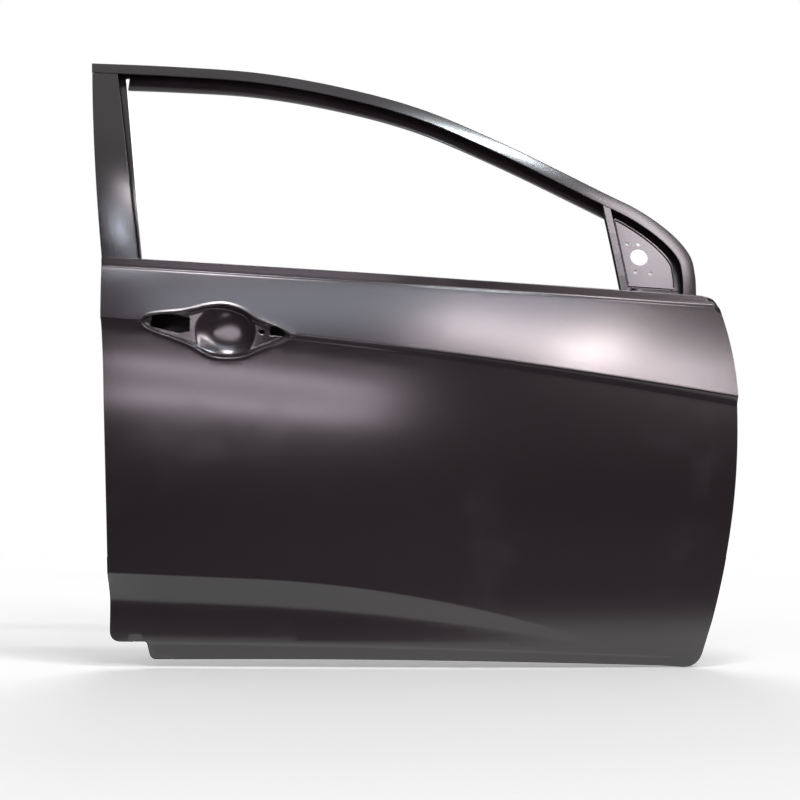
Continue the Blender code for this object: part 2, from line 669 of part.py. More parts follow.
class Shop:
    """Collections, materials and the parent that every piece hangs on."""

    def __init__(self):
        self.parts = bpy.data.collections.new("car_door_shell")
        self.cutters = bpy.data.collections.new("cutters")
        for collection in (self.parts, self.cutters):
            bpy.context.scene.collection.children.link(collection)
        self.datum = bpy.data.objects.new("door_datum", None)
        self.parts.objects.link(self.datum)
        self.datum.location = (-UPPER_PAD_X, -HINGE_Y, -UPPER_HINGE_Z)

    def material(self, name, colour, roughness, metallic):
        """Principled material, made once for each name."""
        known = bpy.data.materials.get(name)
        if known:
            return known
        made = bpy.data.materials.new(name)
        made.use_nodes = True
        shader = made.node_tree.nodes["Principled BSDF"]
        shader.inputs["Base Color"].default_value = (*colour, 1.0)
        shader.inputs["Roughness"].default_value = roughness
        shader.inputs["Metallic"].default_value = metallic
        return made

    def place(self, name, mesh, location=(0, 0, 0), rotation=(0, 0, 0), finish="dark_primer"):
        """Add a named piece under the datum."""
        piece = bpy.data.objects.new(name, mesh)
        piece.location, piece.rotation_euler = location, rotation
        piece.parent = self.datum
        if not mesh.materials:
            mesh.materials.append(self.material(finish, *FINISHES[finish]))
        self.parts.objects.link(piece)
        return piece

    def sheet(self, name, bm, thickness, flip=False):
        """Piece from an open surface: the surface stays the outer face and the sheet grows behind it."""
        if flip:
            bmesh.ops.reverse_faces(bm, faces=bm.faces)
        mesh = bpy.data.meshes.new(name)
        bm.to_mesh(mesh)
        bm.free()
        mesh.shade_smooth()
        mesh.set_sharp_from_angle(angle=math.radians(35))
        piece = self.place(name, mesh)
        solid = piece.modifiers.new("sheet", "SOLIDIFY")
        solid.thickness = thickness
        solid.offset = -1
        solid.use_even_offset = True
        return piece

    def loft(self, name, sections, finish="dark_primer"):
        """Closed piece from a row of like sections."""
        bm = bmesh.new()
        rings = [[bm.verts.new(p) for p in section] for section in sections]
        for ring, following in zip(rings, rings[1:]):
            for i in range(len(ring)):
                k = (i + 1) % len(ring)
                bm.faces.new((ring[i], ring[k], following[k], following[i]))
        bm.faces.new(rings[0][::-1])
        bm.faces.new(rings[-1])
        bmesh.ops.recalc_face_normals(bm, faces=bm.faces)
        mesh = bpy.data.meshes.new(name)
        bm.to_mesh(mesh)
        bm.free()
        mesh.shade_smooth()
        mesh.set_sharp_from_angle(angle=math.radians(30))
        return self.place(name, mesh, finish=finish)

    def bent_strip(self, name, plan, levels, thickness):
        """Bracket bent from strip: a line in plan view (X, Y), which may change from level to level."""
        return self.loft(name, [[(x, y, z) for x, y in thickened(plan(z), thickness)] for z in levels])

    def cutter(self, name, bm):
        """Hidden cutting body under the datum."""
        mesh = bpy.data.meshes.new(name)
        bm.to_mesh(mesh)
        bm.free()
        body = bpy.data.objects.new(name, mesh)
        body.parent = self.datum
        body.hide_render = True
        body.display_type = "WIRE"
        self.cutters.objects.link(body)
        return body


def cut(piece, cutter):
    """Take a cutter out of a piece."""
    boolean = piece.modifiers.new("cut_" + cutter.name, "BOOLEAN")
    boolean.object = cutter
    boolean.operation = "DIFFERENCE"
    boolean.solver = "EXACT"


def add_drill(bm, centre, radius, length, axis="X", segments=14):
    """Add a round cutter along an axis to a cutter mesh."""
    turn = {"X": Matrix.Rotation(math.pi / 2, 4, "Y"), "Y": Matrix.Rotation(math.pi / 2, 4, "X"),
            "Z": Matrix.Identity(4)}[axis]
    bmesh.ops.create_cone(bm, cap_ends=True, segments=segments, radius1=radius, radius2=radius, depth=length,
                          matrix=Matrix.Translation(centre) @ turn)


def add_block(bm, centre, size):
    """Add a box cutter to a cutter mesh."""
    bmesh.ops.create_cube(bm, size=1.0, matrix=Matrix.Translation(centre) @ Matrix.Diagonal((*size, 1.0)))


# Outer panel

def recess_loop(points):
    """Opening in the handle recess, from points measured off the crease."""
    return rounded([(x, float(bow(x, CREASE)) + rise) for x, rise in points], RECESS_CORNER, steps=2)


def make_outer_panel(shop):
    """Outer panel: pressed skin with its belt strip, crease, handle recess, facet, foot strip and hem."""
    border = divided(skin_outline(), 0.040, closed=True)
    holes = [recess_loop(points) for points in (LOCK_OPENING, CLIP_OPENING, LATCH_OPENING)]
    bm = bmesh.new()
    bowl = [circle((0, 0), 1.0, 24) * BOWL_RADII * share + (BOWL_X, float(bow(BOWL_X, CREASE)) - BOWL_DROP)
            for share in (0.45, 0.70, 0.90)]
    rings = [np.vstack([loop, loop[:1]]) for loop in (RIM, *bowl)]
    press(bm, border, skin, holes=holes, lines=skin_lines() + rings, pitch=0.065,
          fine=[(offset(RIM, -0.024, closed=True), 0.014)])
    on_edge = near(border, closed=True)

    def returned(p, n):
        x, z = p.x + n[0] * HEM_WIDTH, p.z + n[1] * HEM_WIDTH
        if abs(p.z - bow(p.x, CREASE)) < HEM_FOLLOW:
            z = p.z + float(bow(x, CREASE) - bow(p.x, CREASE))
        return (x, float(stacked(x, z, HEM_HEIGHT)[0]), z)

    below_belt = [v for v in bm.verts if on_edge(v) and v.co.z < bow(v.co.x, BELT) - HEM_STOP]
    behind = {v for v in below_belt if v.co.x < STRIP_REAR_X - HEM_RELIEF[0]}
    ahead = {v for v in below_belt if v.co.x > STRIP_REAR_X + HEM_RELIEF[1]}
    for side in (behind, ahead):
        hem = boundary_chain(bm, side.__contains__)
        turned = fold(bm, hem, lambda p, n: (p.x, float(stacked(p.x, p.z, HEM_HEIGHT)[0]), p.z))
        fold(bm, turned, returned)
    belt = boundary_chain(bm, lambda v: on_edge(v) and v.co.z > bow(v.co.x, BELT) - 0.0005)
    fold(bm, belt, lambda p, n: (p.x, p.y + BELT_LIP, p.z - 0.0008))
    return shop.sheet("outer_panel", bm, SKIN)


# Inner panel

def pad(z, centre, half):
    """One on a wall pad, falling to zero beside it."""
    return np.clip((half + PAD_SLOPE - np.abs(z - centre)) / PAD_SLOPE, 0, 1)


def rear_wall_x(z):
    """Outer face of the inner panel's rear wall."""
    plain = rear_x(z) + FLANGE + WALL_INSET
    return plain + (LATCH_PAD_X - plain) * pad(z, LATCH_Z, LATCH_PAD)


def front_wall_x(z):
    """Outer face of the inner panel's front wall."""
    x = front_x(z) - FLANGE - WALL_INSET
    x = x + (UPPER_PAD_X - x) * pad(z, UPPER_HINGE_Z, HINGE_PAD)
    return x + (LOWER_PAD_X - x) * pad(z, LOWER_HINGE_Z, HINGE_PAD)


def pad_levels(low, high, pads, pitch):
    """Heights along a wall, with every pad corner among them."""
    marks = {low, high}
    for centre, half in pads:
        marks |= {centre - half - PAD_SLOPE, centre - half, centre + half, centre + half + PAD_SLOPE}
    marks = sorted(m for m in marks if low <= m <= high)
    return divided([(m, 0.0) for m in marks], pitch)[:, 0]


def wall_path():
    """Foot of the side walls on the flange, from the rear top round the bottom to the front top."""
    rear_top = float(bow(0, BELT)) - PANEL_DROP
    front_top = min(FRONT_TOP_Z, BELT[2] - PANEL_DROP)
    start = PANEL_FOOT_Z + 1.2 * PANEL_CORNER
    rear = [(float(rear_wall_x(z)) - WALL_INSET, z)
            for z in pad_levels(start, rear_top, [(LATCH_Z, LATCH_PAD)], 0.045)[::-1]]
    hinges = [(UPPER_HINGE_Z, HINGE_PAD), (LOWER_HINGE_Z, HINGE_PAD)]
    front = [(float(front_wall_x(z)) + WALL_INSET, z) for z in pad_levels(start, front_top, hinges, 0.045)]
    corners = [(rear[-1][0] + 0.004, PANEL_FOOT_Z), (front[0][0] - 0.012, PANEL_FOOT_Z - 0.012)]
    points = rear + corners + front
    radii = [0] * len(rear) + [PANEL_CORNER, PANEL_CORNER] + [0] * len(front)
    return divided(rounded(points, radii, steps=5, closed=False), 0.050)


def face_y(x, z):
    """Depth of the trim face, with its belt lean, speaker boss, service rim and swage."""
    x, z = np.atleast_1d(x).astype(float), np.atleast_1d(z).astype(float)
    lean = ease((z - FACE_LEAN[0]) / (FACE_LEAN[1] - FACE_LEAN[0]))
    plain = blend(lean, (FACE_Y, FACE_BELT_Y + FACE_CROWN_SHARE * crown(x)))
    points = np.stack([x, z], axis=1)
    from_speaker = np.linalg.norm(points - np.array(SPEAKER), axis=1)
    boss = SPEAKER_BOSS * ease((SPEAKER_RING + PRESS_STEP[0] - from_speaker) / PRESS_STEP[0])
    hole = service_loop()
    rim = np.where(inside(points, hole), 0, distance_to(points, hole, True))
    step = SERVICE_STEP * ease((SERVICE_RIM + PRESS_STEP[1] - rim) / PRESS_STEP[1])
    from_swage = np.abs(bow(x, BELT) - SWAGE_DROP - z)
    swage = SWAGE_DEPTH * ease((SWAGE_WIDTH - from_swage) / (0.6 * SWAGE_WIDTH))
    swage = swage * ease((x - SWAGE_ENDS[0]) / SWAGE_FADE) * ease((SWAGE_ENDS[1] - x) / SWAGE_FADE)
    return plain + boss - step - swage


def service_loop():
    """Edge of the large service hole."""
    return rounded(SERVICE_HOLE, SERVICE_CORNER, steps=4)


def face_holes():
    """Openings of the trim face in side view."""
    loops = [service_loop(), circle(SPEAKER, SPEAKER_RADIUS, 28)]
    loops += [rounded(points, ACCESS_CORNER, steps=3) for points in (FRONT_ACCESS, REAR_ACCESS)]
    for turn in (45, 135, 225, 315):
        angle = math.radians(turn)
        centre = (SPEAKER[0] + SPEAKER_BOLT_CIRCLE * math.cos(angle),
                  SPEAKER[1] + SPEAKER_BOLT_CIRCLE * math.sin(angle))
        loops.append(circle(centre, SPEAKER_BOLT, 8))
    loops += [circle(centre, CLIP_HOLE, 8) for centre in CLIPS]
    return loops


def make_inner_panel(shop):
    """Inner panel: hem flange, drawn side walls and trim face in one sheet."""
    wall = wall_path()
    edge = offset(edge_path(PANEL_DROP, STRIP_REAR_X + HEM_RELIEF[0]), SKIN + HEM_GAP)
    flange_border = np.vstack([divided(edge, 0.040), wall[::-1]])
    lift = SKIN + HEM_GAP + PANEL
    bm = bmesh.new()
    press(bm, flange_border, lambda x, z: stacked(x, z, lift), lines=skin_lines(), pitch=0.05)
    on_wall = near(wall)
    chain = boundary_chain(bm, on_wall)
    rows = ((WALL_BEND, lambda x, y, z: y + WALL_BEND),
            (WALL_INSET - WALL_BEND, lambda x, y, z: y + 2 * WALL_BEND),
            (0.0, lambda x, y, z: float(face_y(x, z)[0]) - FACE_BEND),
            (0.3 * FACE_BEND, lambda x, y, z: float(face_y(x, z)[0]) - 0.3 * FACE_BEND),
            (0.7 * FACE_BEND, lambda x, y, z: float(face_y(x, z)[0])))
    for inset, depth in rows:
        def move(p, n, inset=inset, depth=depth):
            x, z = p.x - n[0] * inset, p.z - n[1] * inset
            return (x, depth(x, p.y, z), z)
        chain = fold(bm, chain, move)
    ring = [side_view(v) for v in chain]
    if ring[0][0] > ring[-1][0]:
        ring, chain = ring[::-1], chain[::-1]
    corner_rear, corner_front = ring[0][0] + PANEL_TOP_CORNER, ring[-1][0] - PANEL_TOP_CORNER
    top = [(x, float(bow(x, BELT)) - FACE_TOP) for x in np.linspace(corner_front, corner_rear, 22)]
    face_border = np.vstack([ring, top])
    swage_run = (SWAGE_ENDS[0] - SWAGE_FADE, SWAGE_ENDS[1] + SWAGE_FADE, 0.06)
    swage = [level_line(lambda x, dz=dz: bow(x, BELT) - SWAGE_DROP + dz, *swage_run)
             for dz in (-SWAGE_WIDTH, -0.4 * SWAGE_WIDTH, 0.4 * SWAGE_WIDTH, SWAGE_WIDTH)]
    lean_run = (INNER_BELT_REAR, FRONT_CLIP_X, 0.09)
    lean = [level_line(lambda x, dz=dz: dz, *lean_run) for dz in np.linspace(*FACE_LEAN, 5)]
    loops = [circle(SPEAKER, radius, 28) for radius in (SPEAKER_RING, SPEAKER_RING + PRESS_STEP[0])]
    loops += [offset(service_loop(), -rim, True) for rim in (SERVICE_RIM, SERVICE_RIM + PRESS_STEP[1])]
    rings = [np.vstack([loop, loop[:1]]) for loop in loops]
    press(bm, face_border, face_y, holes=face_holes(), lines=swage + lean + rings, pitch=0.085, reuse=chain)
    panel = shop.sheet("inner_panel", bm, PANEL, flip=True)
    cutters = wall_cutters(shop)
    for cutter in cutters.values():
        cut(panel, cutter)
    return cutters


def bolt_heights(centre):
    """Heights of a hinge's two bolts."""
    return (centre - HINGE_BOLT_SPREAD, centre + HINGE_BOLT_SPREAD)


def wall_cutters(shop):
    """Cutters for the side walls: bolts, check strap, harness hole, latch and drains."""
    front = bmesh.new()
    for centre, x in ((UPPER_HINGE_Z, UPPER_PAD_X), (LOWER_HINGE_Z, LOWER_PAD_X)):
        for z in bolt_heights(centre):
            add_drill(front, (x, HINGE_Y, z), HINGE_BOLT, WALL_CUT)
    check_x = float(front_wall_x(CHECK_Z))
    add_block(front, (check_x, HINGE_Y, CHECK_Z), (1.5 * WALL_CUT, *CHECK_SLOT))
    for dz in (-CHECK_BOLT_SPREAD, CHECK_BOLT_SPREAD):
        add_drill(front, (check_x, HINGE_Y, CHECK_Z + dz), CHECK_BOLT, 1.5 * WALL_CUT, segments=10)
    harness = (float(front_wall_x(HARNESS_Z)), HARNESS_Y, HARNESS_Z)
    add_drill(front, harness, HARNESS_RADIUS, WALL_CUT, segments=20)
    rear = bmesh.new()
    add_block(rear, (LATCH_PAD_X, LATCH_SLOT_Y, LATCH_Z), (WALL_CUT, *LATCH_SLOT))
    for y, z in LATCH_BOLTS:
        add_drill(rear, (LATCH_PAD_X, y, z), CHECK_BOLT, WALL_CUT, segments=10)
    foot = bmesh.new()
    for x in DRAINS:
        add_drill(foot, (x, DRAIN_Y, PANEL_FOOT_Z), DRAIN_RADIUS, 2 * WALL_CUT, axis="Z", segments=10)
    meshes = {"front_wall_cuts": front, "rear_wall_cuts": rear, "drain_cuts": foot}
    return {name: shop.cutter(name, bm) for name, bm in meshes.items()}


# Window frame

def frame_y(x, z):
    """Surface of the window frame: barrel above the belt, easing to upright inside the door."""
    rise = np.asarray(z) - bow(x, BELT)
    above = FRAME_LEAN * rise + rise ** 2 / (2 * BARREL)
    drop = np.clip(rise, -FRAME_LEAN * DROP_BARREL, 0)
    below = FRAME_LEAN * drop + drop ** 2 / (2 * DROP_BARREL)
    return FRAME_SET + crown(x) + np.where(rise > 0, above, below)


ROOF = smooth_path(ROOF_LINE, ROOF_SPANS)


def roof_edge(x, depth):
    """Height of the line that runs a depth inside the roof line, at X."""
    line = offset(ROOF, -depth)
    upper = line[:ROOF_SPANS * 9]
    return float(np.interp(x, upper[:, 0], upper[:, 1]))


def pillar_rear_x(z):
    """Rear edge of the B-pillar sash."""
    return PILLAR_REAR_FOOT_X - PILLAR_REAR_LEAN * (z - BELT[0])


def pillar_share(z):
    """Height along the pillar from its foot to its top, 0 to 1."""
    return float(np.clip((z - BELT[0]) / (ROOF_LINE[0][1] - BELT[0]), 0, 1))


def sash_section(width, hang):
    """Roll-formed frame section as (across, inboard): lip, outer face, box, inner flange and glass groove."""
    base = width - GROOVE_DEPTH
    b = SASH_BEND
    path = [(width, 0), (b, 0), (0, b), (0, SASH_DEPTH - b), (b, SASH_DEPTH), (hang, SASH_DEPTH),
            (hang, GROOVE_WALL), (base, GROOVE_WALL), (base, 2 * SASH + GAP), (width - SASH, 2 * SASH + GAP)]
    return thickened(path, SASH)


def header_stations():
    """Places along the roof line, closer where it turns more."""
    spans = np.diff(ROOF, axis=0)
    angles = np.unwrap(np.arctan2(spans[:, 1], spans[:, 0]))
    lengths = np.linalg.norm(spans, axis=1)
    chosen, run, turn = [0], 0.0, 0.0
    for i in range(1, len(ROOF) - 1):
        run += lengths[i - 1]
        turn += abs(angles[i] - angles[i - 1])
        longest = STATION_PITCH[0] if ROOF[i][1] > BELT[0] else STATION_PITCH[1]
        if run > longest or turn > math.radians(STATION_TURN):
            chosen.append(i)
            run, turn = 0.0, 0.0
    if chosen[-1] != len(ROOF) - 1:
        chosen.append(len(ROOF) - 1)
    return chosen


def make_header_sash(shop):
    """Roof and front-pillar part of the window frame, one roll-formed length with its glass groove."""
    normals = -side_normals(ROOF)
    hang_z = ROOF_LINE[0][1] - HANG_REAR - 0.5 * SASH_WIDTH
    corner_x = float(pillar_front_x(hang_z)) + PILLAR_HANG[1] + 2 * GAP
    places = [(ROOF[i], normals[i]) for i in header_stations()]
    upper = ROOF[:ROOF_SPANS * 9]
    steps = [(np.array((x, np.interp(x, upper[:, 0], upper[:, 1]))), normals[ROOF_SPANS // 2])
             for x in (corner_x, corner_x + PILLAR_HANG[0])]
    ahead = [p for p in places[1:] if p[0][0] > corner_x + SASH_WIDTH / 2 or p[0][1] < BELT[0]]
    places = [places[0]] + steps + ahead
    sections = []
    for number, (point, normal) in enumerate(places):
        share = np.clip(point[0] / ROOF_LINE[6][0], 0, 1)
        hang = SASH_WIDTH if number < 2 else blend(share, (HANG_REAR, HANG_FRONT))
        ring = []
        for across, inboard in sash_section(SASH_WIDTH, hang):
            x, z = point + normal * across
            if number == 0:
                x = float(pillar_rear_x(z))
            ring.append((x, float(frame_y(x, z)) + inboard, z))
        sections.append(ring)
    return shop.loft("header_sash", sections)


def pillar_width(z):
    """Width of the pillar's outer face."""
    share = pillar_share(z)
    return blend(share, (PILLAR_WIDTH_FOOT, PILLAR_WIDTH_TOP)) + PILLAR_WIDTH_BOW * 4 * share * (1 - share)


def pillar_front_x(z):
    """Front edge of the B-pillar sash."""
    return pillar_rear_x(z) + pillar_width(z)


def make_pillar_sash(shop):
    """B-pillar sash: wide outer face with the glass groove along its front edge."""
    foot = float(bow(0, BELT)) - PANEL_DROP + GAP
    sections = []
    for level in [*np.linspace(foot, PILLAR_TOP[0], 11), None]:
        z0 = level if level is not None else PILLAR_TOP[1]
        width, hang = pillar_width(z0), blend(pillar_share(z0), PILLAR_HANG)
        ring = []
        for across, inboard in sash_section(width, width + hang):
            x, z = float(pillar_rear_x(z0)) + across, z0
            if level is None:
                for _ in range(4):
                    z = roof_edge(x, SASH_WIDTH + GAP)
                    x = float(pillar_rear_x(z)) + across
            ring.append((x, float(frame_y(x, z)) + inboard, z))
        sections.append(ring)
    return shop.loft("pillar_sash", sections)


def division_x(z):
    """Rear edge of the division channel."""
    return DIVISION_X - DIVISION_LEAN * (z - DIVISION_FOOT_Z)


def make_division_channel(shop):
    """Division bar in front of the glass, running down inside the door as the front glass channel."""
    path = [(0, CHANNEL_DEPTH), (DIVISION_WIDTH, CHANNEL_DEPTH), (DIVISION_WIDTH, 0), (0, 0)]
    profile = thickened(path, SASH)
    sections = []
    for level in [*np.linspace(CHANNEL_FOOT_Z, DIVISION_TOP[0], 10), None]:
        ring = []
        for across, inboard in profile:
            z = level if level is not None else DIVISION_TOP[1]
            x = float(division_x(z)) + across
            if level is None:
                for _ in range(4):
                    z = roof_edge(x, SASH_WIDTH + GAP)
                    x = float(division_x(z)) + across
            ring.append((x, float(frame_y(x, z)) + inboard, z))
        sections.append(ring)
    return shop.loft("division_channel", sections)


def rear_channel_x(z):
    """Closed side of the rear glass channel inside the door."""
    return REAR_CHANNEL_X + DIVISION_LEAN * (BELT[0] - PANEL_DROP - z)


def make_rear_channel(shop):
    """Rear glass channel under the pillar sash, inside the door."""
    path = [(REAR_CHANNEL_WIDTH, 0), (0, 0), (0, CHANNEL_DEPTH), (REAR_CHANNEL_WIDTH, CHANNEL_DEPTH)]
    profile = thickened(path, SASH)
    sections = []
    for z in np.linspace(CHANNEL_FOOT_Z, float(bow(0, BELT)) - PANEL_DROP - GAP, 7):
        x0 = float(rear_channel_x(z))
        sections.append([(x0 + across, float(frame_y(x0, z)) + inboard, z) for across, inboard in profile])
    return shop.loft("rear_glass_channel", sections)


def sail_plane(x, z):
    """Flat plate of the mirror sail, set in from the frame surface at three of its points."""
    x0, z0 = MIRROR_HOLE
    y0 = float(frame_y(x0, z0)) + SAIL_SET
    along = float(frame_y(x0 + SAIL_SPAN, z0) - frame_y(x0 - SAIL_SPAN, z0)) / (2 * SAIL_SPAN)
    upward = float(frame_y(x0, z0 + SAIL_SPAN) - frame_y(x0, z0 - SAIL_SPAN)) / (2 * SAIL_SPAN)
    return y0 + along * (np.asarray(x) - x0) + upward * (np.asarray(z) - z0)


def make_sail_plate(shop):
    """Mirror sail plate: flat, with a rim that turns inboard on to the frame's inner flange."""
    roof = offset(ROOF, -SAIL_EDGE)
    curve = [p for p in roof[ROOF_SPANS * 5:ROOF_SPANS * 12]
             if bow(p[0], BELT) + SAIL_FOOT_RISE + SAIL_TIP < p[1]
             and p[0] > division_x(p[1]) + DIVISION_WIDTH + 2 * GAP]
    foot_x = [curve[-1][0], float(division_x(BELT[2] + SAIL_FOOT_RISE)) + DIVISION_WIDTH + 2 * GAP]
    foot = [(x, float(bow(x, BELT)) + SAIL_FOOT_RISE) for x in foot_x]
    top_z = curve[0][1] - SAIL_TIP
    rear = [(float(division_x(top_z)) + DIVISION_WIDTH + 2 * GAP, top_z)]
    border = divided(np.vstack([foot[:1], curve[::-1], rear, foot[1:]]), 0.020, closed=True)
    bm = bmesh.new()
    holes = [circle(MIRROR_HOLE, MIRROR_HOLE_RADIUS, 24)]
    holes += [circle(centre, MIRROR_BOLT_RADIUS, 10) for centre in (*MIRROR_BOLTS, MIRROR_PEG)]
    press(bm, border, sail_plane, holes=holes, pitch=0.025)
    on_curve = near(curve)
    chain = boundary_chain(bm, on_curve)
    fold(bm, chain, lambda p, n: (p.x, float(frame_y(p.x, p.z)) + GROOVE_WALL - GAP, p.z))
    return shop.sheet("sail_plate", bm, SAIL_SHEET)


# Reinforcements

def make_outer_belt(shop):
    """Outer belt reinforcement: shallow hat behind the belt strip and shoulder."""
    sections = []
    front = float(division_x(bow(DIVISION_X, BELT))) - 5 * GAP
    for x in np.linspace(OUTER_BELT_REAR, front, 19):
        top = float(bow(x, BELT)) - OUTER_BELT_DROP
        low = top - OUTER_BELT_HEIGHT
        levels = (top, top - OUTER_BELT_STEPS[0], top - OUTER_BELT_STEPS[1], low + OUTER_BELT_STEPS[2],
                  low + OUTER_BELT_STEPS[3], low)
        back = SKIN + SEAM
        strip_y = float(crown(x)) + SHOULDER + BELT_STRIP_SET + back
        web = strip_y + OUTER_BELT_DEPTH
        depths = (strip_y, strip_y, web, web, float(plain_skin(x, levels[4])) + back,
                  float(plain_skin(x, levels[5])) + back)
        path = list(zip(levels, depths))
        sections.append([(x, y, z) for z, y in thickened(path, PANEL)])
    return shop.loft("outer_belt_reinforcement", sections)


def make_inner_belt(shop):
    """Inner belt reinforcement: hat on the outboard side of the inner panel's top edge."""
    sections = []
    flat, bend = INNER_BELT_STEPS
    for x in np.linspace(INNER_BELT_REAR, INNER_BELT_FRONT, 21):
        top = float(bow(x, BELT)) - FACE_TOP - INNER_BELT_DROP
        low = top - INNER_BELT_HEIGHT
        levels = (top, top - flat, top - bend, low + bend, low + flat, low)
        back = [float(face_y(x, z)[0]) - PANEL - SEAM for z in levels]
        web = float(crown(x)) * FACE_CROWN_SHARE + FACE_BELT_Y - PANEL - GAP - INNER_BELT_DEPTH
        depths = (back[0], back[1], web, web, back[4], back[5])
        path = list(zip(levels, depths))
        sections.append([(x, y, z) for z, y in thickened(path, -BELT_SHEET)])
    return shop.loft("inner_belt_reinforcement", sections)


def beam_offset(x, z):
    """Signed distance of a side-view point from the beam's axis."""
    run = np.array(BEAM_FRONT) - np.array(BEAM_REAR)
    run = run / np.linalg.norm(run)
    return -(np.asarray(x) - BEAM_REAR[0]) * run[1] + (np.asarray(z) - BEAM_REAR[1]) * run[0]


def beam_line(away):
    """Line in side view that runs at a distance above the beam's axis."""
    ends = np.array([BEAM_REAR, BEAM_FRONT])
    run = (ends[1] - ends[0]) / np.linalg.norm(ends[1] - ends[0])
    return ends + np.array([-run[1], run[0]]) * away + np.array([-run, run]) * 0.05


def make_beam(shop):
    """Side impact beam: straight tube from rear to front."""
    rear, front = (Vector((x, BEAM_Y, z)) for x, z in (BEAM_REAR, BEAM_FRONT))
    bm = bmesh.new()
    bmesh.ops.create_cone(bm, cap_ends=False, segments=24, radius1=BEAM_RADIUS, radius2=BEAM_RADIUS,
                          depth=(front - rear).length)
    beam = shop.sheet("side_impact_beam", bm, BEAM_WALL)
    beam.location = (rear + front) / 2
    beam.rotation_euler = (front - rear).to_track_quat("Z", "Y").to_euler()
    return beam


def make_beam_bracket(shop, name, wall, toward):
    """Stamped seat that cradles one end of the beam and stands on a side wall."""
    reach = BEAM_RADIUS + BEAM_SEAT
    centre = BEAM_REAR if toward > 0 else BEAM_FRONT
    heights = np.linspace(centre[1] - BRACKET_HALF, centre[1] + BRACKET_HALF, 7)
    foot = [(float(wall(z)) + toward * (PANEL + GAP + PLATE), z) for z in heights]
    far = foot[3][0] + toward * BRACKET_REACH
    tip = BRACKET_TIP
    slope = (BEAM_FRONT[1] - BEAM_REAR[1]) / (BEAM_FRONT[0] - BEAM_REAR[0])
    middle = centre[1] + toward * BRACKET_REACH * slope
    border = np.vstack([foot, [(far, middle + tip), (far, middle - tip)]])
    if toward > 0:
        border = border[::-1]
    border = divided(border, 0.022, closed=True)

    def seat(x, z):
        away = np.minimum(np.abs(beam_offset(x, z)), CRADLE * reach)
        return BEAM_Y + np.sqrt(reach ** 2 - away ** 2)

    bm = bmesh.new()
    lines = [beam_line(CRADLE * math.sin(turn) * reach) for turn in np.linspace(-math.pi / 2, math.pi / 2, 7)]
    press(bm, border, seat, lines=lines, pitch=0.03)
    chain = boundary_chain(bm, near(foot))
    fold(bm, chain, lambda p, n: (p.x, BEAM_Y + reach + BRACKET_LEG, p.z))
    return shop.sheet(name, bm, PLATE)


def make_wall_plate(shop, name, wall_x, toward, span, outboard_y, turn):
    """Plate behind a side wall, with a leg that turns along the trim face."""
    x = wall_x + toward * (PANEL + GAP)

    def plan(z):
        face = float(face_y(x + toward * turn, z)[0]) - PANEL - 1.5 * GAP
        return [(x, outboard_y), (x, face - 2 * FACE_BEND), (x + toward * 2.2 * FACE_BEND, face),
                (x + toward * turn, face)]

    return shop.bent_strip(name, plan, np.linspace(*span, 7), toward * PLATE)


def make_check_plate(shop):
    """Plate behind the check strap slot, following the wall's slant."""
    def plan(z):
        x = float(front_wall_x(z)) - PANEL - GAP
        return [(x, HINGE_Y - CHECK_PLATE[0] / 2), (x, HINGE_Y + CHECK_PLATE[0] / 2)]

    levels = CHECK_Z + np.array((-0.5, 0, 0.5)) * CHECK_PLATE[1]
    return shop.bent_strip("check_strap_reinforcement", plan, levels, -PLATE)


def make_handle_ring(shop):
    """Reinforcement bonded behind the skin, round the handle recess."""
    border = offset(RIM, -HANDLE_RING[1], closed=True)[::2]
    hole = offset(RIM, -HANDLE_RING[0], closed=True)[::2]
    bm = bmesh.new()
    behind = SKIN + 2 * GAP
    press(bm, border, lambda x, z: stacked(x, z, behind), holes=[hole], lines=skin_lines()[-6:], pitch=0.02)
    return shop.sheet("handle_reinforcement", bm, PANEL)


def make_step_bracket(shop, name, ends, levels, inboard, foot_z):
    """Plate that lies on a frame member's inboard face and steps on to the trim face below it."""
    sections = []
    for x in np.linspace(*ends, 3):
        upper = [(z, float(frame_y(x, z)) + inboard + 2 * GAP) for z in levels]
        lower = [(z, float(face_y(x, z)[0]) - PANEL - GAP - PLATE) for z in (levels[-1] - STEP_RUN, foot_z)]
        sections.append([(x, y, z) for z, y in thickened(upper + lower, PLATE)])
    return shop.loft(name, sections)


def make_channel_brackets(shop):
    """Brackets that hold the lower ends of the two glass channels."""
    def rear_plan(z):
        wall, side = float(rear_wall_x(z)) + PANEL + GAP, float(rear_channel_x(z)) - GAP - PLATE
        y = float(frame_y(side, z)) + REAR_BRACKET_SEAT * CHANNEL_DEPTH
        return [(wall, y + REAR_BRACKET_LEG), (wall, y), (side, y), (side, y - REAR_BRACKET_LIP)]

    def front_plan(z):
        start, bend, foot, end = (float(division_x(z)) + run for run in DIVISION_BRACKET)
        y = float(frame_y(bend, z)) + CHANNEL_DEPTH + GAP
        face = min(float(face_y(x, z)[0]) for x in (foot, end)) - PANEL - GAP - PLATE
        return [(start, y), (bend, y), (foot, face), (end, face)]

    levels = CHANNEL_FOOT_Z + np.array(CHANNEL_BRACKET_RISE)
    shop.bent_strip("rear_channel_bracket", rear_plan, levels, -PLATE)
    shop.bent_strip("division_channel_bracket", front_plan, levels, -PLATE)


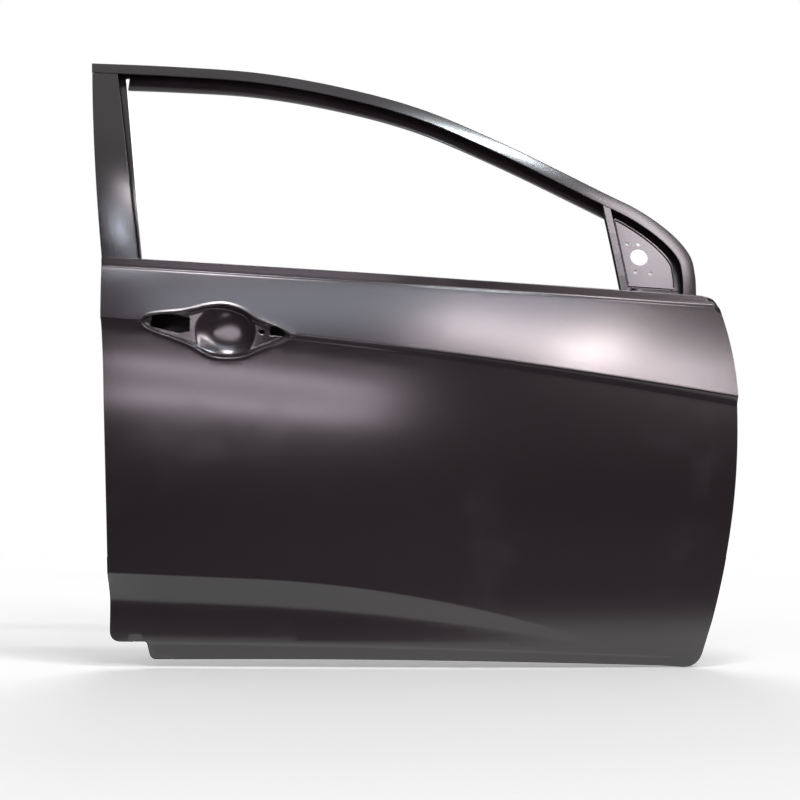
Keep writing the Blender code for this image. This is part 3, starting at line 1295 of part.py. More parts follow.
def make_sail_rail(shop):
    """Rail under the mirror sail, between the division channel and the front leg of the frame."""
    start = float(division_x(bow(DIVISION_X, BELT) - SAIL_RAIL_HEIGHT)) + DIVISION_WIDTH + 2 * GAP
    end = ROOF_LINE[-3][0] - SASH_WIDTH - RAIL_END
    sections = []
    for x in np.linspace(start, end, 5):
        top = float(bow(x, BELT)) + SAIL_FOOT_RISE - SAIL_RAIL_GAP
        path = [(z, float(frame_y(x, z)) + SAIL_SET) for z in (top - SAIL_RAIL_HEIGHT, top - SASH_BEND)]
        depth = path[-1][1]
        path += [(top, depth + SASH_BEND), (top, depth - SAIL_SET + GROOVE_WALL - 1.5 * GAP)]
        sections.append([(x, y, z) for z, y in thickened(path, -SASH)])
    return shop.loft("sail_foot_rail", sections)


def make_nut_mesh(name, flats, height, bore):
    """Hexagon weld nut standing on Z = 0, bored through."""
    count = 12
    corner = flats / 2 / math.cos(math.pi / 6)
    bm = bmesh.new()

    def ring(radii, z):
        angles = [2 * math.pi * k / count for k in range(count)]
        return [bm.verts.new((r * math.cos(a), r * math.sin(a), z)) for r, a in zip(radii, angles)]

    outside = [corner if k % 2 == 0 else flats / 2 for k in range(count)]
    inside_wall = [bore] * count
    rings = [ring(outside, 0), ring(outside, height), ring(inside_wall, height), ring(inside_wall, 0)]
    for i, current in enumerate(rings):
        following = rings[(i + 1) % len(rings)]
        for k in range(count):
            j = (k + 1) % count
            bm.faces.new((current[k], current[j], following[j], following[k]))
    mesh = bpy.data.meshes.new(name)
    bm.to_mesh(mesh)
    bm.free()
    return mesh


def make_nuts(shop):
    """Weld nuts behind the hinge pads and the mirror sail."""
    hinge_nut = make_nut_mesh("hinge_nut", NUT_FLATS, NUT_HEIGHT, HINGE_BOLT)
    for label, centre, wall in (("upper", UPPER_HINGE_Z, UPPER_PAD_X), ("lower", LOWER_HINGE_Z, LOWER_PAD_X)):
        for place, z in zip(("bottom", "top"), bolt_heights(centre)):
            x = wall - PANEL - GAP - PLATE - GAP
            turn = (0, -math.pi / 2, 0)
            shop.place(f"{label}_hinge_nut_{place}", hinge_nut, (x, HINGE_Y, z), turn, "zinc_plate")
    mirror_nut = make_nut_mesh("mirror_nut", MIRROR_NUT_FLATS, MIRROR_NUT_HEIGHT, MIRROR_BOLT_RADIUS)
    slope_x = float(sail_plane(1, 0) - sail_plane(0, 0))
    slope_z = float(sail_plane(0, 1) - sail_plane(0, 0))
    inboard = Vector((-slope_x, 1, -slope_z)).normalized()
    for number, (x, z) in enumerate(MIRROR_BOLTS, start=1):
        seat = Vector((x, float(sail_plane(x, z)), z)) + inboard * (SAIL_SHEET + GAP)
        turn = inboard.to_track_quat("Z", "Y").to_euler()
        shop.place(f"mirror_nut_{number}", mirror_nut, seat, turn, "zinc_plate")


def make_mastic_pads(shop):
    """Anti-flutter mastic between the impact beam and the skin."""
    slope = (BEAM_FRONT[1] - BEAM_REAR[1]) / (BEAM_FRONT[0] - BEAM_REAR[0])
    for number, x in enumerate(MASTIC_X, start=1):
        z = BEAM_REAR[1] + slope * (x - BEAM_REAR[0])
        xs = [x - MASTIC_SIZE[0] / 2, x, x + MASTIC_SIZE[0] / 2]
        zs = [z - MASTIC_SIZE[1] / 2, z, z + MASTIC_SIZE[1] / 2]
        near_y = max(float(skin(a, b)[0]) for a in xs for b in zs) + SKIN + GAP
        far_y = BEAM_Y - BEAM_RADIUS - GAP
        bm = bmesh.new()
        bmesh.ops.create_cube(bm, size=1.0)
        bm.transform(Matrix.Diagonal((MASTIC_SIZE[0], far_y - near_y, MASTIC_SIZE[1], 1.0)))
        mesh = bpy.data.meshes.new("mastic")
        bm.to_mesh(mesh)
        bm.free()
        pad_piece = shop.place(f"beam_mastic_{number}", mesh, (x, (near_y + far_y) / 2, z), finish="mastic")
        edge = pad_piece.modifiers.new("edge", "BEVEL")
        edge.width = MASTIC_EDGE
        edge.segments = 1


def main():
    """Clear the scene and build every piece."""
    for old in list(bpy.data.objects):
        bpy.data.objects.remove(old, do_unlink=True)
    shop = Shop()
    make_outer_panel(shop)
    cutters = make_inner_panel(shop)
    make_header_sash(shop)
    make_pillar_sash(shop)
    make_division_channel(shop)
    make_rear_channel(shop)
    make_sail_plate(shop)
    make_sail_rail(shop)
    make_outer_belt(shop)
    make_inner_belt(shop)
    make_beam(shop)
    make_beam_bracket(shop, "beam_rear_bracket", rear_wall_x, 1)
    make_beam_bracket(shop, "beam_front_bracket", front_wall_x, -1)
    make_mastic_pads(shop)
    for name, wall, z in (("upper_hinge_reinforcement", UPPER_PAD_X, UPPER_HINGE_Z),
                          ("lower_hinge_reinforcement", LOWER_PAD_X, LOWER_HINGE_Z)):
        span = (z - HINGE_PAD + 2 * GAP, z + HINGE_PAD - 2 * GAP)
        plate = make_wall_plate(shop, name, wall, -1, span, HINGE_PLATE_Y, HINGE_PLATE_LEG)
        cut(plate, cutters["front_wall_cuts"])
    cut(make_check_plate(shop), cutters["front_wall_cuts"])
    half = LATCH_PAD - LATCH_PLATE_MARGIN
    plate = make_wall_plate(shop, "latch_reinforcement", LATCH_PAD_X, 1, (LATCH_Z - half, LATCH_Z + half),
                            LATCH_PLATE_Y, LATCH_PLATE_LEG)
    cut(plate, cutters["rear_wall_cuts"])
    make_handle_ring(shop)
    make_step_bracket(shop, "pillar_foot_bracket", PILLAR_BRACKET_X, PILLAR_BRACKET_Z, SASH_DEPTH,
                      PILLAR_BRACKET_FOOT_Z)
    leg_x = [ROOF_LINE[-2][0] - back for back in LEG_BRACKET_BACK]
    make_step_bracket(shop, "front_leg_bracket", leg_x, LEG_BRACKET_Z, SASH_DEPTH,
                      UPPER_HINGE_Z + HINGE_PAD + LEG_BRACKET_RISE)
    make_channel_brackets(shop)
    make_nuts(shop)


main()
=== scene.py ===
"""Looks of the right front door shell: fine pressed surfaces, finishes, studio light and camera.

Sizes are in metres in the door datum: X forward from the rear edge at the belt, Y inboard from the outermost
skin, Z up from the foot of the panel. DATUM moves that datum to the row's origin at the upper hinge seat.
"""

from __future__ import annotations

import logging
import math
from dataclasses import dataclass, field
from enum import Enum
from typing import Callable, Sequence

import bmesh
import bpy
import numpy as np
from mathutils import Matrix, Vector, geometry

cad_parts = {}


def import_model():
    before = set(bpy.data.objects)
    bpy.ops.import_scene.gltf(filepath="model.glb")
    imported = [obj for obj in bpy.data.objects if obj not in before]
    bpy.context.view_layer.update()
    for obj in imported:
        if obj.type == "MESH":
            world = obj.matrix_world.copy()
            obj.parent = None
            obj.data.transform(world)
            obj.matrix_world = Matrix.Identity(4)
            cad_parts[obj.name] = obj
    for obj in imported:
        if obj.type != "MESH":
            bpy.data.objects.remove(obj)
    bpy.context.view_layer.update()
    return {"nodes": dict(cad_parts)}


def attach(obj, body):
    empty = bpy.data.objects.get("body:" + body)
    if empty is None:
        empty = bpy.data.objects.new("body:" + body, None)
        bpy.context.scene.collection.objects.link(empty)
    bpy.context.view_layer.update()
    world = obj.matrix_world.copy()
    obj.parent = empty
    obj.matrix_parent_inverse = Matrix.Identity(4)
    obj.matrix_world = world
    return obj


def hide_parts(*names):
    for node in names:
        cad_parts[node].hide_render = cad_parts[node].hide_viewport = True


log = logging.getLogger("door_shell")

DATUM = np.array((-1.050, -0.062, -0.500))
LENGTH = 1.040
MERGE = 0.0003
LINE_SPAN = (-0.05, 1.12)
Row = tuple[float, ...]
Pair = tuple[float, float]
Points = tuple[Pair, ...]
Curve = np.ndarray
Height = Callable[[np.ndarray, np.ndarray], np.ndarray]


# Curves in side view

def bow(x: float | Curve, heights: Sequence[float]) -> Curve:
    """Parabola along X through the rear, middle and front heights."""
    rear, middle, front = heights
    u = np.asarray(x, dtype=float) / LENGTH
    return rear + (4 * middle - 3 * rear - front) * u + 2 * (rear - 2 * middle + front) * u * u


def blend(u: float | Curve, ends: Sequence[float]) -> Curve:
    """Straight blend between two end values."""
    return ends[0] + (ends[1] - ends[0]) * u


def ease(t: float | Curve) -> Curve:
    """Smooth step from 0 to 1."""
    t = np.clip(t, 0.0, 1.0)
    return t * t * (3.0 - 2.0 * t)


def smooth_path(points: Sequence[Sequence[float]], count: int) -> Curve:
    """Catmull-Rom curve through the points.

    Args:
        points: Places that the curve passes through.
        count: Spans between two places.

    Returns:
        The curve's points, one row each.
    """
    knots = np.array(points, dtype=float)
    knots = np.vstack([2 * knots[0] - knots[1], knots, 2 * knots[-1] - knots[-2]])
    path = []
    for before, start, end, after in zip(knots, knots[1:], knots[2:], knots[3:]):
        for t in np.arange(count) / count:
            path.append(0.5 * (2 * start + (end - before) * t
                               + (2 * before - 5 * start + 4 * end - after) * t ** 2
                               + (3 * start - before - 3 * end + after) * t ** 3))
    path.append(knots[-2])
    return np.array(path)


def rounded(points: Sequence[Sequence[float]], radius: float | Sequence[float], steps: int = 3,
            closed: bool = True) -> Curve:
    """Polyline with its corners turned into arcs.

    Args:
        points: Corners of the polyline.
        radius: One radius, or one for each corner.
        steps: Spans in each arc.
        closed: True if the last corner joins the first.

    Returns:
        The rounded polyline.
    """
    corners = [np.array(p, dtype=float) for p in points]
    radii = list(radius) if isinstance(radius, (list, tuple)) else [radius] * len(corners)
    path = []
    for i, corner in enumerate(corners):
        if radii[i] <= 0 or (not closed and i in (0, len(corners) - 1)):
            path.append(corner)
            continue
        before, after = corners[i - 1] - corner, corners[(i + 1) % len(corners)] - corner
        a, b = before / np.linalg.norm(before), after / np.linalg.norm(after)
        half = math.acos(float(np.clip(a @ b, -1, 1))) / 2
        reach = min(radii[i] / math.tan(half), 0.45 * np.linalg.norm(before), 0.45 * np.linalg.norm(after))
        start, end = corner + a * reach, corner + b * reach
        for t in np.linspace(0, 1, steps + 1):
            path.append(start * (1 - t) ** 2 + corner * 2 * t * (1 - t) + end * t ** 2)
    return np.array(path)


def divided(path: Curve, pitch: float, closed: bool = False) -> Curve:
    """Polyline with every span longer than the pitch cut into equal steps."""
    path = np.asarray(path, dtype=float)
    ends = np.vstack([path[1:], path[:1]]) if closed else path[1:]
    result = []
    for start, end in zip(path, ends):
        steps = max(1, math.ceil(np.linalg.norm(end - start) / pitch - 1e-6))
        result += [start + (end - start) * k / steps for k in range(steps)]
    if not closed:
        result.append(path[-1])
    return np.array(result)


def side_normals(path: Curve, closed: bool = False) -> Curve:
    """Mitred left-hand normals of a polyline."""
    path = np.asarray(path, dtype=float)
    if closed:
        before, after = path - np.roll(path, 1, 0), np.roll(path, -1, 0) - path
    else:
        spans = np.diff(path, axis=0)
        before, after = np.vstack([spans[:1], spans]), np.vstack([spans, spans[-1:]])
    before = before / np.linalg.norm(before, axis=1)[:, None]
    after = after / np.linalg.norm(after, axis=1)[:, None]
    turn = before + after
    turn = turn / np.linalg.norm(turn, axis=1)[:, None]
    mitre = np.clip(np.sum(turn * before, axis=1), 0.5, 1.0)
    return np.stack([-turn[:, 1], turn[:, 0]], axis=1) / mitre[:, None]


def offset(path: Curve, distance: float, closed: bool = False) -> Curve:
    """Polyline moved to its left by a distance."""
    return np.asarray(path) + side_normals(path, closed) * distance


def distance_to(points: Curve, path: Curve, closed: bool = False) -> Curve:
    """Distance of each point from a polyline."""
    points, path = np.atleast_2d(points), np.asarray(path, dtype=float)
    starts, ends = (path, np.roll(path, -1, 0)) if closed else (path[:-1], path[1:])
    best = np.full(len(points), np.inf)
    for start, end in zip(starts, ends):
        span = end - start
        t = np.clip((points - start) @ span / max(float(span @ span), 1e-18), 0, 1)
        away = points - start - t[:, None] * span
        best = np.minimum(best, away[:, 0] ** 2 + away[:, 1] ** 2)
    return np.sqrt(best)


def inside(points: Curve, loop: Curve) -> np.ndarray:
    """Even-odd test of points against a closed loop."""
    points, loop = np.atleast_2d(points), np.asarray(loop)
    result = np.zeros(len(points), dtype=bool)
    for start, end in zip(loop, np.roll(loop, -1, 0)):
        crosses = (start[1] > points[:, 1]) != (end[1] > points[:, 1])
        rise = end[1] - start[1] if end[1] != start[1] else 1e-12
        result ^= crosses & (points[:, 0] < start[0] + (points[:, 1] - start[1]) * (end[0] - start[0]) / rise)
    return result


def thickened(path: Sequence[Sequence[float]], thickness: float) -> Curve:
    """Closed section of a bent strip: the path and its copy to the right by the thickness."""
    return np.vstack([path, offset(np.array(path), -thickness)[::-1]])


def level_lines(height: Callable[[Curve], Curve], offsets: Sequence[float], start: float = LINE_SPAN[0],
                end: float = LINE_SPAN[1], pitch: float = 0.012) -> list[Curve]:
    """Lines in side view at offsets from a height that depends on X."""
    xs = np.linspace(start, end, max(2, math.ceil((end - start) / pitch)))
    return [np.stack([xs, (height(xs) + away) * np.ones_like(xs)], axis=1) for away in offsets]


# The form of the door

@dataclass(frozen=True)
class PressedForm:
    """Sizes and surface of the pressed outer skin."""

    belt: Row = (0.692, 0.6545, 0.622)
    crease_line: Row = (0.582, 0.5245, 0.4505)
    skin_foot: Row = (0.033, 0.0265, 0.006)
    strip_foot: Row = (0.0015, 0.0035, -0.0095)
    rear_foot_x: float = 0.014
    rear_lean: float = 0.031
    rear_lean_z: float = 0.060
    rear_bend: float = 1.5
    front_edge_x: float = 1.079
    front_middle_z: float = 0.445
    front_bend: Pair = (0.90, 0.36)
    crown_depth: float = 0.022
    crown_middle: float = 0.540
    shoulder_depth: float = 0.022
    shoulder_bend: Pair = (0.85, 0.15)
    strip_rear_x: float = 0.076
    strip_front_x: float = 0.995
    joggle: float = 0.006
    joggle_run: Pair = (0.006, 0.045)
    belt_strip: float = 0.019
    belt_step: float = 0.003
    belt_step_depth: float = 0.0025
    recess_depth: float = 0.007
    recess_ramp: float = 0.005
    recess_margin: float = 0.005
    opening_radius: float = 0.0025
    bowl_x: float = 0.209
    bowl_drop: float = 0.005
    bowl_reach: Pair = (0.058, 0.046)
    bowl_rise: float = 0.0475
    bowl_softness: Pair = (1.7, 0.7)
    bowl_depth: float = 0.020
    bowl_flatness: float = 3.4
    rim_bead: float = 0.0014
    rim_bead_width: float = 0.0028
    undercut: Pair = (0.003, 0.008)
    undercut_fall: Pair = (0.006, 0.014)
    waist: Pair = (0.350, 0.250)
    waist_out: Pair = (0.002, 0.0045)
    cove_depth: float = 0.0045
    cove_drop: float = 0.065
    cove_width: float = 0.062
    cove_fade: Pair = (0.300, 0.800)
    tuck_z: float = 0.350
    tuck: float = 0.20
    facet_fade: Pair = (0.300, 0.880)
    facet_heights: Pair = (0.148, 0.107)
    facet_bends: Pair = (0.24, 0.14)
    facet_fall: float = 0.04
    facet_bend_x: float = 0.25
    facet_depth: float = 0.018
    facet_turn: Pair = (1.25, 1.5)
    facet_return: float = 0.45
    least_facet: float = 0.004
    least_foot: float = 0.012
    press_round: float = 0.0011
    belt_front_x: float = 1.020
    belt_inset: float = 0.003
    rear_span: Pair = (0.003, 0.075)
    foot_span: Pair = (0.16, 0.94)
    front_span: Pair = (0.070, 0.597)
    front_corner: Points = ((1.0535, 0.607), (1.046, 0.6165), (1.034, 0.6212))
    corner_radii: Row = (0.022, 0.004, 0.012)
    front_radius: float = 0.034
    step_rows: Row = (-0.0022, -0.0011, 0.0, 0.0008, 0.0016, 0.0024, 0.0032, 0.0042, 0.0054)
    belt_rows: Row = (-0.0009, -0.0020, -0.0060, -0.0100)
    facet_rows: Row = (-0.12, -0.05, 0.0, 0.05, 0.12, 0.25, 0.5, 0.75, 0.93, 1.0, 1.07, 1.15)
    foot_rows: Row = (0.0022, 0.0, -0.002, -0.004, -0.006, -0.0082)
    crease_rows: Row = (0.005, 0.0022, 0.0011, 0.0, -0.0011, -0.0022)
    undercut_rows: Row = (0.002, 0.0, -0.0022)
    crease_pitch: float = 0.010
    rim_upper_points: Points = (
        (0.060, 0.0), (0.070, 0.009), (0.094, 0.0155), (0.128, 0.0215), (0.154, 0.0295), (0.178, 0.0375),
        (0.205, 0.0415), (0.235, 0.0355), (0.259, 0.0225), (0.282, 0.0145), (0.302, 0.0085), (0.320, 0.0))
    rim_lower_points: Points = (
        (0.060, 0.0), (0.068, -0.0100), (0.086, -0.0170), (0.112, -0.0235), (0.136, -0.0305), (0.155, -0.0380),
        (0.172, -0.0465), (0.190, -0.0505), (0.212, -0.0500), (0.238, -0.0445), (0.262, -0.0320),
        (0.285, -0.0205), (0.305, -0.0100), (0.320, 0.0))
    opening_points: tuple[Points, ...] = (
        ((0.075, -0.007), (0.079, 0.010), (0.092, 0.0135), (0.125, 0.0155), (0.143, 0.0135), (0.143, -0.0095),
         (0.124, -0.0150)),
        ((0.2640, -0.0020), (0.2725, -0.0020), (0.2725, 0.0045), (0.2640, 0.0045)),
        ((0.2825, -0.0035), (0.3070, -0.0025), (0.3070, 0.0065), (0.2930, 0.0120), (0.2825, 0.0110)))
    upper_rim: Curve = field(init=False)
    lower_rim: Curve = field(init=False)
    rim: Curve = field(init=False)

    def __post_init__(self) -> None:
        """Work out the recess rim from its points."""
        curves = []
        for points in (self.rim_upper_points, self.rim_lower_points):
            path = smooth_path(points, 6)
            curves.append(np.stack([path[:, 0], self.crease(path[:, 0]) + path[:, 1]], axis=1))
        object.__setattr__(self, "upper_rim", curves[0])
        object.__setattr__(self, "lower_rim", curves[1])
        object.__setattr__(self, "rim", np.vstack([curves[1], curves[0][-2:0:-1]]))

    def crown(self, x: float | Curve) -> Curve:
        """Bow of the whole door in plan view."""
        return self.crown_depth * ((np.asarray(x, dtype=float) - self.crown_middle) / self.crown_middle) ** 2

    def crease(self, x: float | Curve) -> Curve:
        """Height of the crease."""
        return bow(x, self.crease_line)

    def undercut_foot(self, x: float | Curve) -> Curve:
        """Foot of the undercut below the crease."""
        return self.crease(x) - blend(np.clip(np.asarray(x) / LENGTH, 0, 1.1), self.undercut_fall)

    def facet(self, x: float | Curve, share: float) -> Curve:
        """Height in the lower facet: share 0 is its upper border, 1 its lower one."""
        run = np.clip(np.asarray(x, dtype=float) - self.facet_bend_x, 0, None) ** 2
        top, low = (height - self.facet_fall * x - bend * run
                    for height, bend in zip(self.facet_heights, self.facet_bends))
        return top + (low - top) * share

    def rear_x(self, z: float | Curve) -> Curve:
        """Rear edge of the skin at a height."""
        share = (np.asarray(z) - self.rear_lean_z) / (self.belt[0] - self.rear_lean_z)
        return self.rear_foot_x - self.rear_lean * np.clip(share, 0, 1.2) ** self.rear_bend

    def front_x(self, z: float | Curve) -> Curve:
        """Front edge of the skin at a height."""
        rise = np.asarray(z) - self.front_middle_z
        return self.front_edge_x - np.where(rise > 0, *self.front_bend) * rise ** 2

    def plain(self, x: Curve, z: Curve) -> Curve:
        """Depth of the skin before the handle recess is pressed in."""
        along = np.clip(x / LENGTH, 0, 1.1)
        strip, crease = bow(x, self.belt) - self.belt_strip, self.crease(x)
        undercut, fall = blend(along, self.undercut), blend(along, self.undercut_fall)
        up = np.clip((z - crease) / (strip - crease), 0, 1)
        shoulder = self.shoulder_depth * (self.shoulder_bend[0] * up + self.shoulder_bend[1] * up * up)
        shoulder = shoulder + self.belt_step_depth * ease((z - strip) / self.belt_step)
        down = np.clip((crease - z) / fall, 0, 1)
        waist, out = blend(along, self.waist), blend(along, self.waist_out)
        rise = np.clip((z - waist) / (crease - fall - waist), 0, 1)
        side = out + (undercut - out) * rise ** 2 + self.tuck * np.clip(self.tuck_z - z, 0, None) ** 2
        cove = self.cove_depth * np.exp(-((crease - self.cove_drop - z) / self.cove_width) ** 2)
        cove = cove * ease((crease - z) / (3 * fall))
        cove = cove * ease((self.cove_fade[1] - x) / (self.cove_fade[1] - self.cove_fade[0]))
        step = undercut * (1 - (1 - down) ** 2)
        depth = np.where(z > crease, shoulder, np.where(z > crease - fall, step, side) + cove)
        top, low, foot = self.facet(x, 0), self.facet(x, 1), bow(x, self.skin_foot)
        fade = ease((self.facet_fade[1] - x) / (self.facet_fade[1] - self.facet_fade[0]))
        reach, bend = self.facet_turn
        turn = 1 - (1 - np.clip((top - z) / (reach * np.clip(top - low, self.least_facet, None)), 0, 1)) ** bend
        back = self.facet_return * np.clip((low - z) / np.clip(low - foot, self.least_foot, None), 0, 1)
        joggle = self.joggle * ease((foot - z) / self.joggle_run[0])
        joggle = joggle * ease((self.strip_front_x - x) / self.joggle_run[1])
        return self.crown(x) + depth + self.facet_depth * fade * (turn - back) + joggle

    def sharp(self, x: Curve, z: Curve) -> Curve:
        """Depth of the skin with the handle recess, its edges still sharp."""
        points = np.stack([x, z], axis=1)
        depth = self.plain(x, z)
        low, high = self.rim.min(axis=0) - self.recess_margin, self.rim.max(axis=0) + self.recess_margin
        close = np.all((points > low) & (points < high), axis=1)
        if not close.any():
            return depth
        x, z, points = x[close], z[close], points[close]
        upper = np.interp(x, self.upper_rim[:, 0], self.upper_rim[:, 1])
        lower = np.interp(x, self.lower_rim[:, 0], self.lower_rim[:, 1])
        share = np.clip((z - lower) / np.clip(upper - lower, 1e-6, None), 0, 1)
        ruled = (1 - share) * self.plain(x, lower) + share * self.plain(x, upper)
        rim = distance_to(points, self.rim, True)
        sunk = (self.recess_depth + self.bowl(x, z)) * ease(rim / self.recess_ramp)
        bead = self.rim_bead * np.exp(-(rim / self.rim_bead_width) ** 2)
        depth[close] = np.where(inside(points, self.rim), ruled + sunk, depth[close]) - bead
        return depth

    def bowl(self, x: Curve, z: Curve) -> Curve:
        """Depth of the finger bowl below the recess floor: soft towards the rear, steep towards the front."""
        along = x - self.bowl_x
        along = along / np.where(along < 0, *self.bowl_reach)
        up = (z - float(self.crease(self.bowl_x)) + self.bowl_drop) / self.bowl_rise
        away = np.sqrt(along ** 2 + up ** 2)
        softness = blend(0.5 + 0.5 * along / np.clip(away, 1e-6, None), self.bowl_softness)
        body = np.clip(1 - away ** self.bowl_flatness, 0, 1) ** softness
        return (self.bowl_depth - self.recess_depth) * body

    def skin(self, x: Curve, z: Curve) -> Curve:
        """Depth of the skin, its creases rounded as the press leaves them."""
        x, z = np.atleast_1d(x).astype(float), np.atleast_1d(z).astype(float)
        taps, total = np.array((-2, -1, 0, 1, 2)) * self.press_round, 0.0
        weights = np.array((1, 4, 6, 4, 1)) / 16
        for dx, wx in zip(taps, weights):
            for dz, wz in zip(taps, weights):
                total = total + wx * wz * self.sharp(x + dx, z + dz)
        return total

    def sides(self) -> Curve:
        """Side and foot edge of the skin, from the belt at the rear round to the front."""
        rear_top = float(bow(self.rear_x(self.belt[0]), self.belt)) - self.rear_span[0]
        rear = [(float(self.rear_x(z)), z) for z in np.linspace(rear_top, self.rear_span[1], 24)]
        foot_x = self.strip_rear_x
        corner = [(self.rear_foot_x, float(bow(0, self.skin_foot))), (foot_x, float(bow(foot_x, self.skin_foot))),
                  (foot_x + 0.007, float(bow(foot_x, self.strip_foot)))]
        strip = [(x, float(bow(x, self.strip_foot))) for x in np.linspace(*self.foot_span, 20)]
        toe = [(float(self.front_x(0.0)) - 0.004, float(bow(LENGTH, self.strip_foot)))]
        front = [(float(self.front_x(z)), z) for z in np.linspace(*self.front_span, 24)]
        radii = [0] * len(rear) + [*self.corner_radii] + [0] * len(strip) + [self.front_radius] + [0] * len(front)
        return rounded(rear + corner + strip + toe + front, radii, steps=10, closed=False)

    def outline(self) -> Curve:
        """Closed outline of the skin, anticlockwise in side view."""
        top = [(x, float(bow(x, self.belt)))
               for x in np.linspace(self.belt_front_x, float(self.rear_x(self.belt[0])) + self.belt_inset, 60)]
        sides = self.sides()
        corner = smooth_path([sides[-1], *self.front_corner, top[0]], 4)
        return np.vstack([sides, corner[1:-1], top])

    def openings(self) -> list[Curve]:
        """Openings in the floor of the handle recess."""
        return [rounded([(x, float(self.crease(x)) + rise) for x, rise in points], self.opening_radius, steps=5)
                for points in self.opening_points]

    def feature_lines(self) -> list[Curve]:
        """Lines that the fine mesh follows, close together where the skin turns."""
        lines = level_lines(lambda x: bow(x, self.belt) - self.belt_strip, self.step_rows)
        lines += level_lines(lambda x: bow(x, self.belt), self.belt_rows)
        for share in self.facet_rows:
            lines += level_lines(lambda x: self.facet(x, share), (0.0,), end=self.facet_fade[1])
        lines += level_lines(lambda x: bow(x, self.skin_foot), self.foot_rows, start=self.strip_rear_x - 0.004)
        recess = self.rim_upper_points[0][0], self.rim_upper_points[-1][0]
        for start, end in ((LINE_SPAN[0], recess[0]), (recess[1], LINE_SPAN[1])):
            lines += level_lines(self.crease, self.crease_rows, start, end, self.crease_pitch)
            lines += level_lines(self.undercut_foot, self.undercut_rows, start, end, self.crease_pitch)
        return lines


@dataclass(frozen=True)
class FrameForm:
    """Sizes and surface of the window frame."""

    skin: PressedForm
    roof_line: Points = (
        (-0.085, 1.108), (0.086, 1.095), (0.240, 1.0785), (0.392, 1.045), (0.541, 0.9960), (0.686, 0.924),
        (0.862, 0.825), (0.932, 0.7855), (0.985, 0.742), (1.0145, 0.701), (1.0210, 0.663), (1.0200, 0.625),
        (1.0190, 0.590), (1.0180, 0.560))
    width: float = 0.024
    depth: float = 0.028
    groove_depth: float = 0.011
    groove_wall: float = 0.0205
    sheet: float = 0.0012
    gap: float = 0.0004
    bend_radii: Row = (0, 0.0006, 0.0008, 0.0022, 0.0022, 0.0008, 0.0008, 0.0012, 0.0012, 0)
    hang: Pair = (0.052, 0.040)
    foot_drop: float = 0.030
    set_in: float = 0.034
    lean: float = 0.20
    lean_radius: float = 2.6
    lean_foot: float = -0.10
    pillar_foot_x: float = -0.0188
    pillar_lean: float = 0.1616
    pillar_widths: Pair = (0.065, 0.0475)
    pillar_belly: float = 0.012
    roof_spans: int = 14
    roof_top_legs: int = 9
    roof: Curve = field(init=False)

    def __post_init__(self) -> None:
        """Work out the roof curve."""
        object.__setattr__(self, "roof", smooth_path(self.roof_line, self.roof_spans))

    def surface(self, x: float | Curve, z: float | Curve) -> Curve:
        """Depth of the frame's outer face."""
        rise = np.asarray(z, dtype=float) - bow(x, self.skin.belt)
        above = self.lean * rise + rise ** 2 / self.lean_radius
        drop = np.clip(rise, self.lean_foot, 0)
        return self.set_in + self.skin.crown(x) + np.where(rise > 0, above, self.lean * drop + drop ** 2)

    def roof_edge(self, x: float, inset: float) -> float:
        """Height of the line that runs an inset below the roof line."""
        line = offset(self.roof, -inset)[:self.roof_spans * self.roof_top_legs]
        return float(np.interp(x, line[:, 0], line[:, 1]))

    def pillar_rear_x(self, z: float) -> float:
        """Rear edge of the pillar sash."""
        return self.pillar_foot_x - self.pillar_lean * (z - self.skin.belt[0])

    def pillar_share(self, z: float) -> float:
        """Height along the pillar, 0 at its foot to 1 at its top."""
        return float(np.clip((z - self.skin.belt[0]) / (self.roof_line[0][1] - self.skin.belt[0]), 0, 1))

    def pillar_width(self, z: float) -> float:
        """Width of the pillar's outer face."""
        share = self.pillar_share(z)
        return float(blend(share, self.pillar_widths) + self.pillar_belly * share * (1 - share))

    def section(self, width: float, hang: float) -> Curve:
        """Roll-formed frame section as (across, inboard), with rounded bends."""
        base = width - self.groove_depth
        lip = 2 * self.sheet + self.gap
        path = [(width - self.sheet, lip), (width, 0.5 * lip), (width - self.sheet, 0), (0, 0), (0, self.depth),
                (hang, self.depth), (hang, self.groove_wall), (base, self.groove_wall), (base, lip),
                (width - 1.5 * self.sheet, lip)]
        return rounded(path, self.bend_radii, steps=4, closed=False)


# Mesh making

class Slot(Enum):
    """Material slots of the part."""

    PAINT = "dark_primer"
    ZINC = "zinc_plate"
    MASTIC = "mastic"


